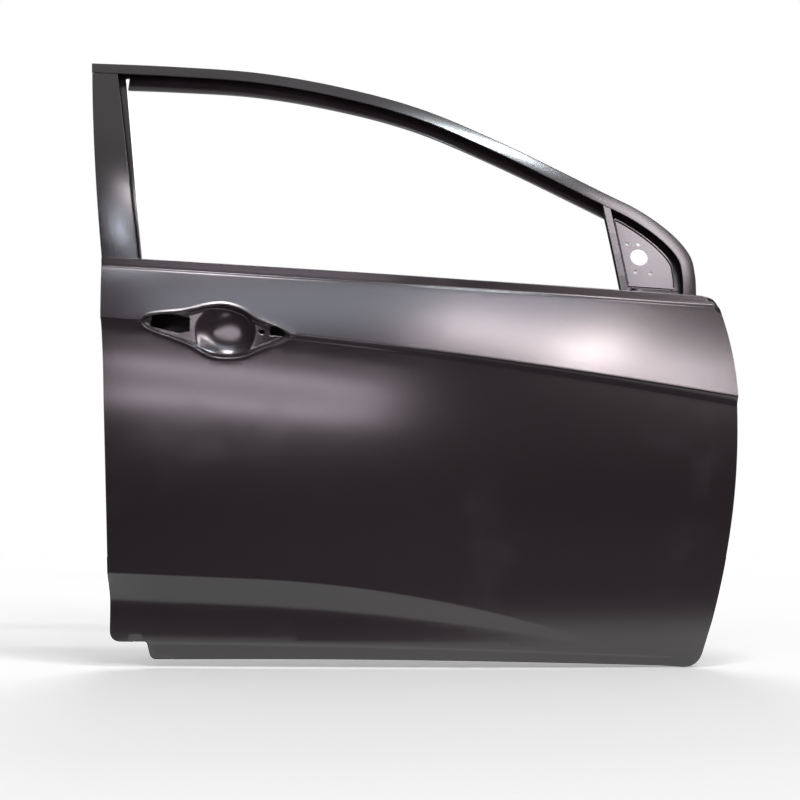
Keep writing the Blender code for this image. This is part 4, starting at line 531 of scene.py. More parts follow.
def press(bm: bmesh.types.BMesh, border: Curve, height: Height, holes: Sequence[Curve],
          lines: Sequence[Curve], pitch: float, fine: Sequence[tuple[Curve, float]]) -> None:
    """Mesh a sheet inside a border in side view and press it to a height.

    Args:
        bm: Mesh that takes the sheet.
        border: Closed outline.
        height: Depth in Y for arrays of X and Z.
        holes: Closed outlines that stay open.
        lines: Polylines that the mesh follows.
        pitch: Lattice pitch.
        fine: Areas with a finer lattice, each a loop and its pitch.
    """
    points: list = []
    edges: list = []
    for path, closed in [(border, True)] + [(h, True) for h in holes] + [(line, False) for line in lines]:
        base = len(points)
        points.extend(path)
        edges.extend((base + i, base + (i + 1) % len(path)) for i in range(len(path) if closed else len(path) - 1))
    low, high = border.min(axis=0), border.max(axis=0)
    for loop, step in (*fine, (border, pitch)):
        bottom, top = np.maximum(loop.min(axis=0), low), np.minimum(loop.max(axis=0), high)
        xs = np.linspace(bottom[0], top[0], max(2, math.ceil((top[0] - bottom[0]) / step)))
        zs = np.linspace(bottom[1], top[1], max(2, math.ceil((top[1] - bottom[1]) / (0.85 * step))))
        lattice = np.array([(x + (k % 2) * 0.5 * step, z) for k, z in enumerate(zs) for x in xs])
        lattice = lattice[inside(lattice, loop) & inside(lattice, border)]
        if loop is border:
            for area, _ in fine:
                lattice = lattice[~inside(lattice, area)]
        clear = distance_to(lattice, border, True)
        for hole in holes:
            clear = np.minimum(clear, np.where(inside(lattice, hole), 0, distance_to(lattice, hole, True)))
        for line in lines:
            clear = np.minimum(clear, distance_to(lattice, line))
        points.extend(lattice[clear > 0.40 * step])
    flat, _, faces, _, _, _ = geometry.delaunay_2d_cdt([Vector(p) for p in points], edges, [], 0, MERGE)
    flat = np.array([tuple(p) for p in flat])
    corners = np.array([list(f) for f in faces])
    keep = inside(flat[corners].mean(axis=1), border)
    for hole in holes:
        keep &= ~inside(flat[corners].mean(axis=1), hole)
    depth = height(flat[:, 0], flat[:, 1])
    verts: dict = {}
    for face in corners[keep]:
        a, b, c = flat[face]
        turn = (b[0] - a[0]) * (c[1] - a[1]) - (b[1] - a[1]) * (c[0] - a[0])
        if abs(turn) < 1e-12:
            continue
        for i in face:
            if i not in verts:
                verts[i] = bm.verts.new((flat[i][0], depth[i], flat[i][1]))
        bm.faces.new([verts[i] for i in (face if turn > 0 else face[::-1])])


def boundary_chain(bm: bmesh.types.BMesh, keep: Callable) -> list:
    """Boundary vertices that pass a test, in order, with the sheet on their left in side view."""
    following = {}
    for edge in bm.edges:
        if edge.is_boundary and keep(edge.verts[0]) and keep(edge.verts[1]):
            loop = edge.link_loops[0]
            following[loop.vert] = loop.link_loop_next.vert
    ends = set(following.values())
    starts = [v for v in following if v not in ends]
    vert = starts[0] if starts else next(iter(following))
    chain = [vert]
    while vert in following and following[vert] is not chain[0]:
        vert = following[vert]
        chain.append(vert)
    return chain


def fold(bm: bmesh.types.BMesh, chain: list, normals: Curve, move: Callable) -> list:
    """Extend a boundary chain by one strip.

    Args:
        bm: Mesh that holds the chain.
        chain: Boundary vertices in order.
        normals: Side-view normals of the first chain.
        move: Gives each new place from the old one and its normal.

    Returns:
        The new boundary chain.
    """
    fresh = [bm.verts.new(move(v.co, n)) for v, n in zip(chain, normals)]
    for i in range(len(chain) - 1):
        bm.faces.new((chain[i + 1], chain[i], fresh[i], fresh[i + 1]))
    return fresh


class Bench:
    """Places finished pieces on the part and stands smooth-shaded copies in for nodes."""

    def __init__(self, nodes: dict, finishes: dict[Slot, bpy.types.Material]) -> None:
        """Keep the frame's nodes and the finishes."""
        self.nodes, self.finishes = nodes, finishes

    def place(self, name: str, mesh: bpy.types.Mesh, slot: Slot, replaced: Sequence[str] = (),
              in_datum: bool = True, sharp: float = 30.0) -> bpy.types.Object:
        """Add a piece to the part.

        Args:
            name: Name of the piece.
            mesh: Its mesh, in the door datum or in the row frame.
            slot: Material slot that it takes its finish from.
            replaced: Nodes that it stands for.
            in_datum: True if the mesh is in the door datum.
            sharp: Angle in degrees above which edges stay sharp.

        Returns:
            The new object.
        """
        if in_datum:
            mesh.transform(Matrix.Translation(Vector(DATUM)))
        mesh.shade_smooth()
        mesh.set_sharp_from_angle(angle=math.radians(sharp))
        mesh.materials.clear()
        mesh.materials.append(self.finishes[slot])
        piece = bpy.data.objects.new(name, mesh)
        bpy.context.scene.collection.objects.link(piece)
        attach(piece, "root")
        if replaced:
            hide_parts(*replaced)
        log.info("%s: %d faces", name, len(mesh.polygons))
        return piece

    def smooth_copy(self, node: str, slot: Slot, sharp: float) -> bpy.types.Object:
        """Stand a welded, smooth-shaded copy in for a node.

        Args:
            node: Node that is copied.
            slot: Material slot of the copy.
            sharp: Angle in degrees above which edges stay sharp.

        Returns:
            The new object.
        """
        bm = bmesh.new()
        bm.from_mesh(self.nodes[node].data)
        bmesh.ops.remove_doubles(bm, verts=bm.verts, dist=1e-6)
        mesh = bpy.data.meshes.new(node + "_surface")
        bm.to_mesh(mesh)
        bm.free()
        return self.place(node + "_surface", mesh, slot, [node], in_datum=False, sharp=sharp)

    def sheet(self, name: str, bm: bmesh.types.BMesh, thickness: float, slot: Slot,
              replaced: Sequence[str], sharp: float) -> bpy.types.Object:
        """Add a piece from an open surface that grows behind itself.

        Args:
            name: Name of the piece.
            bm: Mesh of the surface, which is freed.
            thickness: How far the sheet grows.
            slot: Material slot of the piece.
            replaced: Nodes that it stands for.
            sharp: Angle in degrees above which edges stay sharp.

        Returns:
            The new object.
        """
        mesh = bpy.data.meshes.new(name)
        bm.to_mesh(mesh)
        bm.free()
        piece = self.place(name, mesh, slot, replaced, sharp=sharp)
        solid = piece.modifiers.new("sheet", "SOLIDIFY")
        solid.thickness = thickness
        solid.offset = -1
        solid.use_even_offset = True
        return piece

    def loft(self, name: str, sections: Sequence[Curve], replaced: Sequence[str] = ()) -> bpy.types.Object:
        """Add a closed painted piece from a row of like sections.

        Args:
            name: Name of the piece.
            sections: Closed sections of equal count, in order.
            replaced: Nodes that it stands for.

        Returns:
            The new object.
        """
        grid = np.array(sections)
        rows, count = grid.shape[:2]
        steps = [(i, (i + 1) % count) for i in range(count)]
        faces = [(base + i, base + j, base + count + j, base + count + i)
                 for base in range(0, (rows - 1) * count, count) for i, j in steps]
        faces += [tuple(range(count))[::-1], tuple(range((rows - 1) * count, rows * count))]
        mesh = bpy.data.meshes.new(name)
        mesh.from_pydata(grid.reshape(-1, 3).tolist(), [], faces)
        bm = bmesh.new()
        bm.from_mesh(mesh)
        bmesh.ops.recalc_face_normals(bm, faces=bm.faces)
        bm.to_mesh(mesh)
        bm.free()
        return self.place(name, mesh, Slot.PAINT, replaced)


# Sub-assemblies

@dataclass
class OuterSkin:
    """Pressed outer skin with its hem and belt lip."""

    form: PressedForm
    sheet: float = 0.0008
    hem_height: float = 0.0034
    hem_width: float = 0.0075
    hem_bend: Points = ((-0.0004, 0.0006), (-0.0006, 0.0017), (-0.0004, 0.0028))
    hem_break: Pair = (0.014, 0.040)
    lip_bend: Points = ((0.0004, 0.0006), (0.0012, 0.0), (0.0034, -0.0008))
    side_top: float = 0.012
    belt_margin: float = 0.0005
    border_pitch: float = 0.010
    pitch: float = 0.0105
    fine_pitch: float = 0.0026
    fine_reach: float = 0.008
    crease_angle: float = 48.0
    rows_in_rim: Row = (0.0, 0.0013, 0.0026, 0.0038)
    rows_past_rim: Row = (-0.0013, -0.0026, -0.0045)

    def build(self, bench: Bench) -> None:
        """Press the skin and turn its edges."""
        form = self.form
        border = divided(form.outline(), self.border_pitch, closed=True)
        rim_rows = [offset(form.rim, away, True)
                    for away in (*self.rows_in_rim, form.recess_ramp, *self.rows_past_rim)]
        lines = form.feature_lines() + [np.vstack([row, row[:1]]) for row in rim_rows]
        bm = bmesh.new()
        press(bm, border, form.skin, form.openings(), lines, self.pitch,
              fine=[(offset(form.rim, -self.fine_reach, True), self.fine_pitch)])
        self.turn_hem(bm, border)
        bench.sheet("outer_skin", bm, self.sheet, Slot.PAINT, ["outer_panel"], self.crease_angle)

    def turn_hem(self, bm: bmesh.types.BMesh, border: Curve) -> None:
        """Turn the hem round the sides and foot, and the lip along the belt."""
        form = self.form
        edge = {v for v in bm.verts if v.is_boundary
                and distance_to([(v.co.x, v.co.z)], border, True)[0] < 1.2 * MERGE}
        below = {v for v in edge if v.co.z < bow(v.co.x, form.belt) - self.side_top}
        behind = {v for v in below if v.co.x < form.strip_rear_x - self.hem_break[0]}
        ahead = {v for v in below if v.co.x > form.strip_rear_x + self.hem_break[1]}
        rows = (*self.hem_bend, (0.0, self.hem_height), (0.3 * self.hem_width, self.hem_height),
                (self.hem_width, self.hem_height))
        for side in (behind, ahead):
            chain = boundary_chain(bm, side.__contains__)
            normals = side_normals(np.array([(v.co.x, v.co.z) for v in chain]))
            feet = [v.co.copy() for v in chain]
            for inset, rise in rows:
                spots = np.array([(foot.x, foot.z) for foot in feet]) + normals * inset
                depth = form.skin(*spots.T) if inset > 0 else np.array([foot.y for foot in feet])
                fresh = iter([(x, y + rise, z) for (x, z), y in zip(spots, depth)])
                chain = fold(bm, chain, normals, lambda p, n: next(fresh))
        belt = boundary_chain(bm, lambda v: v in edge and v.co.z > bow(v.co.x, form.belt) - self.belt_margin)
        normals = side_normals(np.array([(v.co.x, v.co.z) for v in belt]))
        for inboard, up in self.lip_bend:
            belt = fold(bm, belt, normals, lambda p, n: (p.x, p.y + inboard, p.z + up))


@dataclass
class WindowFrame:
    """Header and pillar sashes, drawn fine from the frame's own form."""

    form: FrameForm
    corner_gap: float = 0.012
    corner_step: tuple[float, float, float] = (-0.0002, 0.002, 0.008)
    leg_top_z: float = 0.9
    pillar_top_z: Pair = (1.062, 1.080)
    pillar_hang: Pair = (0.002, 0.012)
    pillar_rows: int = 42
    bevel_rounds: int = 4
    full_hang_leg: int = 6

    def build(self, bench: Bench) -> None:
        """Loft the header and the pillar."""
        self.build_header(bench)
        self.build_pillar(bench)

    def build_header(self, bench: Bench) -> None:
        """Header sash along the whole roof line and down the front leg."""
        form = self.form
        normals = -side_normals(form.roof)
        hang_z = form.roof_line[0][1] - form.hang[0] - 0.5 * form.width
        corner_x = form.pillar_rear_x(hang_z) + form.pillar_width(hang_z) + self.corner_gap + 2 * form.gap
        close, past, clear = (corner_x + step for step in self.corner_step)
        top = form.roof[:form.roof_spans * form.roof_top_legs]
        places = [(form.roof[0], normals[0], form.width)]
        for x, hang in ((close, form.width), (past, None)):
            places.append((np.array((x, np.interp(x, top[:, 0], top[:, 1]))), normals[form.roof_spans // 2], hang))
        places += [(p, n, None) for p, n in zip(form.roof, normals) if p[0] > clear or p[1] < self.leg_top_z]
        sections = []
        for number, (point, normal, hang) in enumerate(places):
            share = float(np.clip(point[0] / form.roof_line[self.full_hang_leg][0], 0, 1))
            ring = []
            reach = float(blend(share, form.hang)) if hang is None else hang
            for across, inboard in thickened(form.section(form.width, reach), form.sheet):
                x, z = point + normal * across
                if number == 0:
                    x = form.pillar_rear_x(z)
                ring.append((x, float(form.surface(x, z)) + inboard, z))
            sections.append(ring)
        bench.loft("header_frame", sections, ["header_sash"])

    def build_pillar(self, bench: Bench) -> None:
        """Rear upright with its wide outer face."""
        form = self.form
        foot = float(bow(0, form.skin.belt)) - form.foot_drop + form.gap
        sections = []
        for level in [*np.linspace(foot, self.pillar_top_z[0], self.pillar_rows), None]:
            z0 = level if level is not None else self.pillar_top_z[1]
            width = form.pillar_width(z0)
            hang = width + float(blend(form.pillar_share(z0), self.pillar_hang))
            ring = []
            for across, inboard in thickened(form.section(width, hang), form.sheet):
                x, z = form.pillar_rear_x(z0) + across, z0
                if level is None:
                    for _ in range(self.bevel_rounds):
                        z = form.roof_edge(x, form.width + form.gap)
                        x = form.pillar_rear_x(z) + across
                ring.append((x, float(form.surface(x, z)) + inboard, z))
            sections.append(ring)
        bench.loft("pillar_frame", sections, ["pillar_sash"])


@dataclass
class MirrorSail:
    """Rolled rim, seam lip, rail end and spot welds round the mirror sail plate."""

    form: FrameForm
    hole: Pair = (0.9250, 0.6970)
    set_in: float = 0.008
    span: float = 0.040
    edge: float = 0.036
    foot_rise: float = 0.0125
    bar_x: float = 0.8875
    bar_lean: float = 0.1355
    bar_foot_z: float = 0.6385
    bar_width: float = 0.0123
    rim_radius: float = 0.0022
    rim_set_in: Pair = (-0.0016, -0.0008)
    rim_margin: float = 0.004
    rim_gap: float = 0.0022
    rim_ends: Pair = (0.003, -0.006)
    rim_corner: float = 0.003
    rim_pitch: float = 0.004
    rim_sunk: float = 0.0004
    strip: float = 0.0008
    lip_start: float = -0.001
    lip_end_x: float = 0.978
    lip_rise: Pair = (-0.0022, 0.005)
    lip_back: float = 0.0024
    rail_drop: Pair = (0.030, 0.0022)
    rail_across: Pair = (-0.001, 0.008)
    rail_back: float = 0.0016
    weld_radius: float = 0.0021
    weld_flatness: float = 0.35
    weld_drop: float = 0.010
    welds: Points = ((0.906, 0.004), (0.912, -0.002), (0.944, 0.001), (0.9765, 0.0015), (0.981, -0.004))

    def build(self, bench: Bench) -> None:
        """Add the rim, the lip, the rail end and the welds."""
        self.build_rim(bench)
        self.build_lip(bench)
        self.build_rail_end(bench)
        self.build_welds(bench)

    def plane(self, x: float | Curve, z: float | Curve) -> Curve:
        """Depth of the flat plate."""
        (x0, z0), surface, reach = self.hole, self.form.surface, self.span
        along = float(surface(x0 + reach, z0) - surface(x0 - reach, z0)) / (2 * reach)
        upward = float(surface(x0, z0 + reach) - surface(x0, z0 - reach)) / (2 * reach)
        return float(surface(x0, z0)) + self.set_in + along * (np.asarray(x) - x0) + upward * (np.asarray(z) - z0)

    def foot(self, x: float | Curve) -> Curve:
        """Height of the plate's foot."""
        return bow(x, self.form.skin.belt) + self.foot_rise

    def bar_front(self, z: float | Curve) -> Curve:
        """Front edge of the division bar."""
        return self.bar_x - self.bar_lean * (np.asarray(z) - self.bar_foot_z) + self.bar_width

    def build_rim(self, bench: Bench) -> None:
        """Rolled rim that stands proud along the rear edge and the curved front edge of the plate."""
        curve = np.array([p for p in offset(self.form.roof, -self.edge)
                          if self.foot(p[0]) + self.rim_margin < p[1]
                          and p[0] > self.bar_front(p[1]) + self.rim_margin])
        low = float(self.foot(self.bar_front(self.bar_foot_z))) + self.rim_ends[0]
        high = curve[0][1] + self.rim_ends[1]
        rear = [(float(self.bar_front(z)) + self.rim_gap, z) for z in np.linspace(low, high, 12)]
        corners = [*rear, *curve + self.rim_set_in]
        radii = [0.0] * len(rear) + [self.rim_corner] + [0.0] * (len(curve) - 1)
        path = divided(rounded(corners, radii, steps=4, closed=False), self.rim_pitch)
        normals = side_normals(path)
        turns = np.linspace(0, 2 * math.pi, 10, endpoint=False)
        sections = [[(x + normal[0] * self.rim_radius * math.cos(t),
                      float(self.plane(x, z)) - self.rim_sunk + self.rim_radius * math.sin(t),
                      z + normal[1] * self.rim_radius * math.cos(t)) for t in turns]
                    for (x, z), normal in zip(path, normals)]
        bench.loft("sail_rim", sections)

    def build_lip(self, bench: Bench) -> None:
        """Lip behind the plate's foot that closes the seam to the rail."""
        sections = []
        for x in np.linspace(float(self.bar_front(self.bar_foot_z)) + self.lip_start, self.lip_end_x, 8):
            low, high = (float(self.foot(x)) + rise for rise in self.lip_rise)
            sections.append([(x, float(self.plane(x, z)) + self.lip_back + inboard, z)
                             for inboard, z in ((0, low), (self.strip, low), (self.strip, high), (0, high))])
        bench.loft("sail_lip", sections)

    def build_rail_end(self, bench: Bench) -> None:
        """Upright strip that closes the rear end of the rail below the plate."""
        sections = []
        rear, front = self.rail_across
        for drop in np.linspace(*self.rail_drop, 4):
            z = float(self.foot(self.bar_x + self.bar_width)) - drop
            x = float(self.bar_front(z))
            depth = float(self.form.surface(x, z)) + self.set_in + self.rail_back
            sections.append([(x + across, depth + inboard, z) for across, inboard in (
                (rear, 0), (rear, self.strip), (front, self.strip), (front, 0))])
        bench.loft("sail_rail_end", sections)

    def build_welds(self, bench: Bench) -> None:
        """Spot welds along the rail below the plate."""
        bm = bmesh.new()
        for x, rise in self.welds:
            z = float(self.foot(x)) - self.weld_drop + rise
            place = Matrix.Translation((x, float(self.form.surface(x, z)) + self.set_in, z))
            place = place @ Matrix.Diagonal((1.0, self.weld_flatness, 1.0, 1.0))
            bmesh.ops.create_uvsphere(bm, u_segments=14, v_segments=8, radius=self.weld_radius, matrix=place)
        mesh = bpy.data.meshes.new("sail_welds")
        bm.to_mesh(mesh)
        bm.free()
        bench.place("sail_welds", mesh, Slot.PAINT)


@dataclass
class BodyWork:
    """The stamped pieces whose own solids are fine enough: they get smooth shading and a finish."""

    painted: tuple[str, ...] = (
        "inner_panel", "division_channel", "rear_glass_channel", "sail_plate", "sail_foot_rail",
        "outer_belt_reinforcement", "inner_belt_reinforcement", "side_impact_beam", "beam_front_bracket",
        "beam_rear_bracket", "upper_hinge_reinforcement", "lower_hinge_reinforcement",
        "check_strap_reinforcement", "latch_reinforcement", "handle_reinforcement", "pillar_foot_bracket",
        "front_leg_bracket", "rear_channel_bracket", "division_channel_bracket")
    plated: tuple[str, ...] = ("upper_hinge_nut_bottom", "upper_hinge_nut_top", "lower_hinge_nut_bottom",
                               "lower_hinge_nut_top", "mirror_nut_1", "mirror_nut_2", "mirror_nut_3")
    soft: tuple[str, ...] = ("beam_mastic_1", "beam_mastic_2", "beam_mastic_3")
    flat: tuple[str, ...] = ("sail_plate",)
    flat_angle: float = 8.0
    bend_angle: float = 28.0

    def build(self, bench: Bench) -> None:
        """Dress every piece."""
        for names, slot in ((self.painted, Slot.PAINT), (self.plated, Slot.ZINC), (self.soft, Slot.MASTIC)):
            for name in names:
                bench.smooth_copy(name, slot, self.flat_angle if name in self.flat else self.bend_angle)


# Finishes

class Graph:
    """Shader node tree with short ways to add, set and join nodes."""

    def __init__(self, tree: bpy.types.NodeTree) -> None:
        """Keep the tree."""
        self.tree = tree

    def feed(self, node: bpy.types.Node, inputs: dict[str | int, object]) -> None:
        """Join each named or numbered input to a source socket, or set its value."""
        for key, value in inputs.items():
            if isinstance(value, bpy.types.NodeSocket):
                self.tree.links.new(value, node.inputs[key])
            else:
                node.inputs[key].default_value = value

    def node(self, kind: str, inputs: dict[str | int, object] | None = None, **settings: object) -> bpy.types.Node:
        """Add a node.

        Args:
            kind: Type of the shader node, without the prefix that all share.
            inputs: Source sockets or values by the input's name or number.
            settings: Properties of the node.

        Returns:
            The new node.
        """
        made = self.tree.nodes.new("ShaderNode" + kind)
        for key, value in settings.items():
            setattr(made, key, value)
        self.feed(made, inputs or {})
        return made

    def math(self, kind: str, *values: object) -> bpy.types.NodeSocket:
        """Result of a sum on sockets or numbers."""
        return self.node("Math", dict(enumerate(values)), operation=kind).outputs["Value"]

    def ramp(self, value: bpy.types.NodeSocket, start: float, end: float, smooth: bool = True,
             ends: Pair = (0.0, 1.0)) -> bpy.types.NodeSocket:
        """Value mapped from a range to two end values, straight or as a smooth step."""
        inputs = {"Value": value, "From Min": start, "From Max": end, "To Min": ends[0], "To Max": ends[1]}
        kind = "SMOOTHSTEP" if smooth else "LINEAR"
        return self.node("MapRange", inputs, interpolation_type=kind).outputs["Result"]


def handling_group() -> bpy.types.NodeTree:
    """Marks of storage and handling: broad haze, small dusty specks and the paint's fine texture."""
    tree = bpy.data.node_groups.new("handling_marks", "ShaderNodeTree")
    for label, value in (("Haze Scale", 5.0), ("Speck Scale", 90.0), ("Grain Scale", 900.0)):
        tree.interface.new_socket(label, in_out="INPUT", socket_type="NodeSocketFloat").default_value = value
    for label in ("Haze", "Specks", "Grain"):
        tree.interface.new_socket(label, in_out="OUTPUT", socket_type="NodeSocketFloat")
    graph, scales = Graph(tree), tree.nodes.new("NodeGroupInput").outputs
    place = graph.node("TexCoord").outputs["Object"]
    haze = graph.node("TexNoise", {"Vector": place, "Scale": scales["Haze Scale"], "Detail": 4.0,
                                   "Roughness": 0.55, "Distortion": 0.4})
    specks = graph.node("TexVoronoi", {"Vector": place, "Scale": scales["Speck Scale"]})
    patch = graph.node("TexNoise", {"Vector": place, "Scale": 7.0, "Detail": 2.0})
    grain = graph.node("TexNoise", {"Vector": place, "Scale": scales["Grain Scale"], "Detail": 2.0})
    dots = graph.ramp(specks.outputs["Distance"], 0.10, 0.04, smooth=False)
    where = graph.ramp(patch.outputs["Fac"], 0.56, 0.72, smooth=False)
    graph.feed(tree.nodes.new("NodeGroupOutput"), {
        "Haze": graph.ramp(haze.outputs["Fac"], 0.52, 0.78), "Specks": graph.math("MULTIPLY", dots, where),
        "Grain": grain.outputs["Fac"]})
    return tree


@dataclass(frozen=True)
class Finish:
    """One surface finish, built as a Principled material with handling marks."""

    name: str
    colour: tuple[float, float, float]
    dusty: tuple[float, float, float]
    roughness: Pair
    metallic: float = 0.0
    specular: float = 0.5
    bump: float = 0.04
    bump_height: float = 0.0004
    grain: float = 900.0

    def build(self, marks: bpy.types.NodeTree) -> bpy.types.Material:
        """Build the material.

        Args:
            marks: Node group with the handling marks.

        Returns:
            The new material.
        """
        material = bpy.data.materials.new(self.name)
        material.use_nodes = True
        graph = Graph(material.node_tree)
        spots = graph.node("Group", {"Grain Scale": self.grain}, node_tree=marks).outputs
        share = graph.math("MULTIPLY_ADD", spots["Haze"], 0.5, spots["Specks"])
        dust = graph.node("Mix", {"Factor": share, "A": (*self.colour, 1.0), "B": (*self.dusty, 1.0)},
                          data_type="RGBA")
        bump = graph.node("Bump", {"Height": spots["Grain"], "Strength": self.bump, "Distance": self.bump_height})
        graph.feed(material.node_tree.nodes["Principled BSDF"], {
            "Metallic": self.metallic, "Specular IOR Level": self.specular, "Base Color": dust.outputs["Result"],
            "Roughness": graph.ramp(spots["Haze"], 0.0, 1.0, smooth=False, ends=self.roughness),
            "Normal": bump.outputs["Normal"]})
        return material


FINISHES = {
    Slot.PAINT: Finish("dark_primer", (0.0170, 0.0125, 0.0145), (0.032, 0.029, 0.031), (0.21, 0.26), specular=1.0),
    Slot.ZINC: Finish("zinc_plate", (0.58, 0.58, 0.55), (0.40, 0.39, 0.36), (0.30, 0.42), metallic=0.95,
                      bump=0.08),
    Slot.MASTIC: Finish("mastic", (0.035, 0.035, 0.037), (0.06, 0.06, 0.06), (0.75, 0.9), bump=0.35,
                        grain=260.0)}


# Studio

@dataclass(frozen=True)
class Lamp:
    """Soft area lamp, placed by its bearing and height as seen from the spot of the door that it lights."""

    name: str
    aim: tuple[float, float, float]
    bearing: float
    height: float
    distance: float
    size: Pair
    power: float
    colour: tuple[float, float, float] = (1.0, 1.0, 1.0)
    roll: float = 0.0
    spread: float = 180.0

    def build(self) -> None:
        """Add the lamp to the scene."""
        turn, rise = math.radians(self.bearing), math.radians(self.height)
        away = Vector((math.sin(turn) * math.cos(rise), -math.cos(turn) * math.cos(rise), math.sin(rise)))
        data = bpy.data.lights.new(self.name, "AREA")
        data.shape, data.size, data.size_y = "RECTANGLE", *self.size
        data.energy, data.color = self.power, self.colour
        data.spread = math.radians(self.spread)
        lamp = bpy.data.objects.new(self.name, data)
        lamp.location = Vector(self.aim) + away * self.distance + Vector(DATUM)
        facing = (-away).to_track_quat("-Z", "Y").to_matrix() @ Matrix.Rotation(math.radians(self.roll), 3, "Z")
        lamp.rotation_euler = facing.to_euler()
        bpy.context.scene.collection.objects.link(lamp)


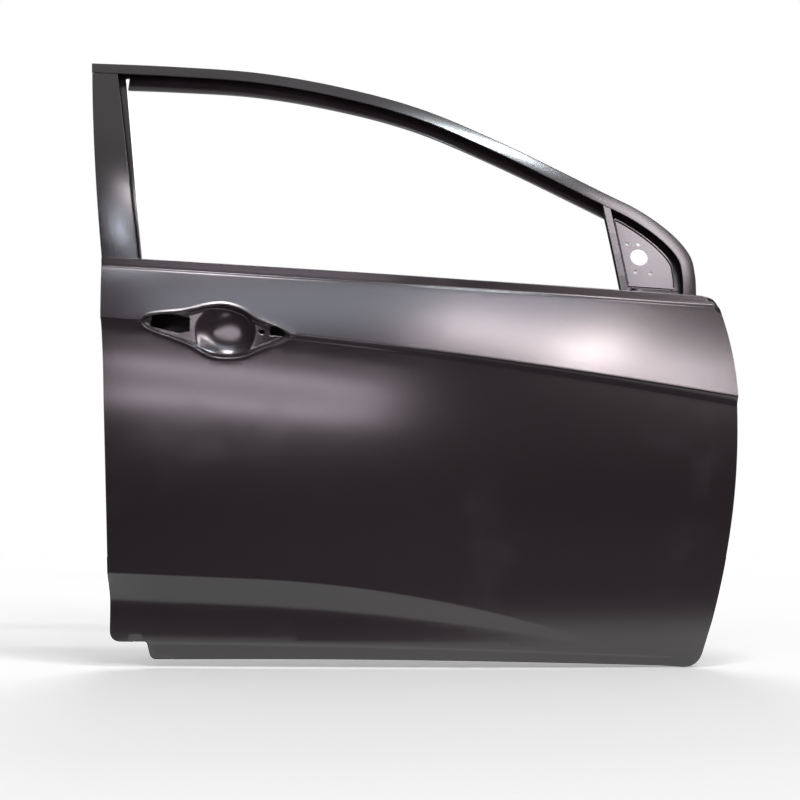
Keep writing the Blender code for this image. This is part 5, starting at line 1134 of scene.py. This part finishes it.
@dataclass
class Studio:
    """Camera, lamps, world and floor."""

    target: tuple[float, float, float] = (0.504, 0.0, 0.437)
    distance: float = 2.0
    tilt: float = 6.0
    lens: float = 53.55
    floor_x: float = 0.5
    floor_z: float = -0.0105
    floor_roughness: float = 0.8
    floor_size: float = 14.0
    # Floor tones: its own pale tone, then a painted dark tone that only glossy rays see further out from the door.
    floor_tones: tuple[Row, ...] = ((0.86, 0.86, 0.85, 1.0), (0.05, 0.04, 0.05, 1.0))
    # Painted reflection: span in Y from the painted dark tone further out to the painted glow near the door, as
    # glossy rays see the floor.
    painted_glow_reach: Pair = (-0.42, -0.16)
    # Painted glow: colour and strength of light that the floor emits for glossy rays only, though it is no lamp.
    glow_tone: Row = (0.92, 1.0, 0.88, 1.0)
    floor_glow: float = 0.26
    white_behind: Pair = (-0.05, 0.35)
    lit_above: Pair = (0.45, 0.90)
    above_light: float = 0.5
    room_light: float = 0.02
    soft_light: float = 0.24
    lamps: tuple[Lamp, ...] = (
        Lamp("roof_light", (0.66, 0.1, 0.90), 17.0, 62.5, 2.0, (0.50, 0.18), 14.6, (0.86, 0.93, 1.0)),
        Lamp("pillar_light", (0.03, 0.05, 0.80), -26.0, 38.0, 2.0, (0.14, 0.05), 0.005, (0.78, 0.86, 1.0),
             spread=8.0),
        Lamp("bowl_light", (0.209, 0.0, 0.555), -6.0, -33.0, 0.70, (0.50, 0.34), 0.012, (1.0, 0.92, 0.98),
             spread=20.0),
        Lamp("rim_light", (0.20, 0.0, 0.57), -18.0, 54.5, 1.0, (0.86, 0.24), 0.31, (1.0, 0.92, 0.98),
             spread=18.0),
        Lamp("crease_light", (0.80, 0.0, 0.53), 18.0, 25.0, 2.4, (1.70, 0.19), 18.2, (1.0, 0.88, 0.93),
             roll=-27.0),
        Lamp("crease_core", (0.74, 0.0, 0.53), 20.0, 25.0, 2.4, (0.26, 0.16), 3.4, (1.0, 0.88, 0.88)),
        Lamp("glow_light", (0.24, 0.0, 0.46), -11.8, 12.0, 2.2, (1.30, 0.18), 5.6, (1.0, 0.87, 0.97)),
        Lamp("ceiling_light", (0.45, 0.0, 0.60), 0.0, 35.5, 2.2, (2.15, 0.40), 7.2, (0.80, 0.86, 1.0)),
        Lamp("front_light", (0.93, 0.05, 0.75), 27.0, 44.0, 2.2, (0.30, 0.80), 7.8, (1.0, 0.90, 0.97)),
        Lamp("inboard_light", (0.5, 0.1, 0.5), 180.0, 35.0, 2.4, (2.0, 1.0), 22.0))

    def build(self) -> None:
        """Set up the whole studio."""
        self.build_camera()
        self.build_world()
        self.build_floor()
        for lamp in self.lamps:
            lamp.build()
        bpy.context.scene.view_settings.view_transform = "Standard"

    def build_camera(self) -> None:
        """Camera at the photograph's angle, a little below the middle of the door and looking up."""
        angle = math.radians(self.tilt)
        away = Vector((0.0, math.cos(angle), math.sin(angle))) * self.distance
        data = bpy.data.cameras.new("camera")
        data.lens, data.sensor_width, data.clip_end = self.lens, 36.0, 50.0
        camera = bpy.data.objects.new("camera", data)
        camera.location = Vector(self.target) + Vector(DATUM) - away
        camera.rotation_euler = (math.pi / 2 + angle, 0.0, 0.0)
        bpy.context.scene.collection.objects.link(camera)
        bpy.context.scene.camera = camera

    def build_world(self) -> None:
        """White surroundings for the camera; a darker room in front of the door for reflections and light."""
        world = bpy.data.worlds.new("studio")
        bpy.context.scene.world = world
        world.use_nodes = True
        world.node_tree.nodes.clear()
        graph = Graph(world.node_tree)
        rays = graph.node("LightPath").outputs
        facing = graph.node("SeparateXYZ", {"Vector": graph.node("TexCoord").outputs["Generated"]}).outputs
        behind = graph.ramp(facing["Y"], *self.white_behind)
        above = graph.ramp(facing["Z"], *self.lit_above, ends=(0.0, self.above_light))
        reflected = graph.math("MAXIMUM", graph.math("MAXIMUM", behind, above), self.room_light)
        glossy = graph.math("MULTIPLY", rays["Is Glossy Ray"], reflected)
        seen = graph.math("MAXIMUM", rays["Is Camera Ray"], rays["Is Transmission Ray"])
        soft = graph.math("MULTIPLY", rays["Is Diffuse Ray"], self.soft_light)
        strength = graph.math("MAXIMUM", graph.math("MAXIMUM", seen, glossy), soft)
        surface = graph.node("Background", {"Color": (1.0, 1.0, 1.0, 1.0), "Strength": strength})
        graph.node("OutputWorld", {"Surface": surface.outputs["Background"]})

    def build_floor(self) -> None:
        """Pale floor that shows white to the camera; in reflections it has a painted glow close to the door and a
        painted dark tone further out.
        """
        place = Vector((self.floor_x, 0.0, self.floor_z)) + Vector(DATUM)
        bpy.ops.mesh.primitive_plane_add(size=self.floor_size, location=place)
        floor = bpy.context.object
        floor.name = "floor"
        material = bpy.data.materials.new("floor")
        material.use_nodes = True
        graph = Graph(material.node_tree)
        glossy = graph.node("LightPath").outputs["Is Glossy Ray"]
        position = graph.node("SeparateXYZ", {"Vector": graph.node("NewGeometry").outputs["Position"]}).outputs
        # Painted reflection: glossy rays see the floor painted dark further out and glowing close to the door;
        # camera and diffuse rays see it plain pale.
        dark = graph.math("MULTIPLY", graph.ramp(position["Y"], *self.painted_glow_reach, ends=(1.0, 0.0)), glossy)
        tone = graph.node("Mix", {"Factor": dark, "A": self.floor_tones[0], "B": self.floor_tones[1]},
                          data_type="RGBA")
        graph.feed(material.node_tree.nodes["Principled BSDF"], {
            "Base Color": tone.outputs["Result"], "Roughness": self.floor_roughness,
            "Emission Color": self.glow_tone,
            "Emission Strength": graph.math("MULTIPLY", graph.math("SUBTRACT", glossy, dark), self.floor_glow)})
        floor.data.materials.append(material)
        floor.is_shadow_catcher = True


def main() -> None:
    """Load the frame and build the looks."""
    logging.basicConfig(level=logging.INFO, format="%(name)s %(message)s")
    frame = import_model()
    marks = handling_group()
    finishes = {slot: finish.build(marks) for slot, finish in FINISHES.items()}
    bench = Bench(frame["nodes"], finishes)
    form = PressedForm()
    OuterSkin(form).build(bench)
    frame_form = FrameForm(form)
    WindowFrame(frame_form).build(bench)
    MirrorSail(frame_form).build(bench)
    BodyWork().build(bench)
    Studio().build()


if __name__ == "__main__":
    main()
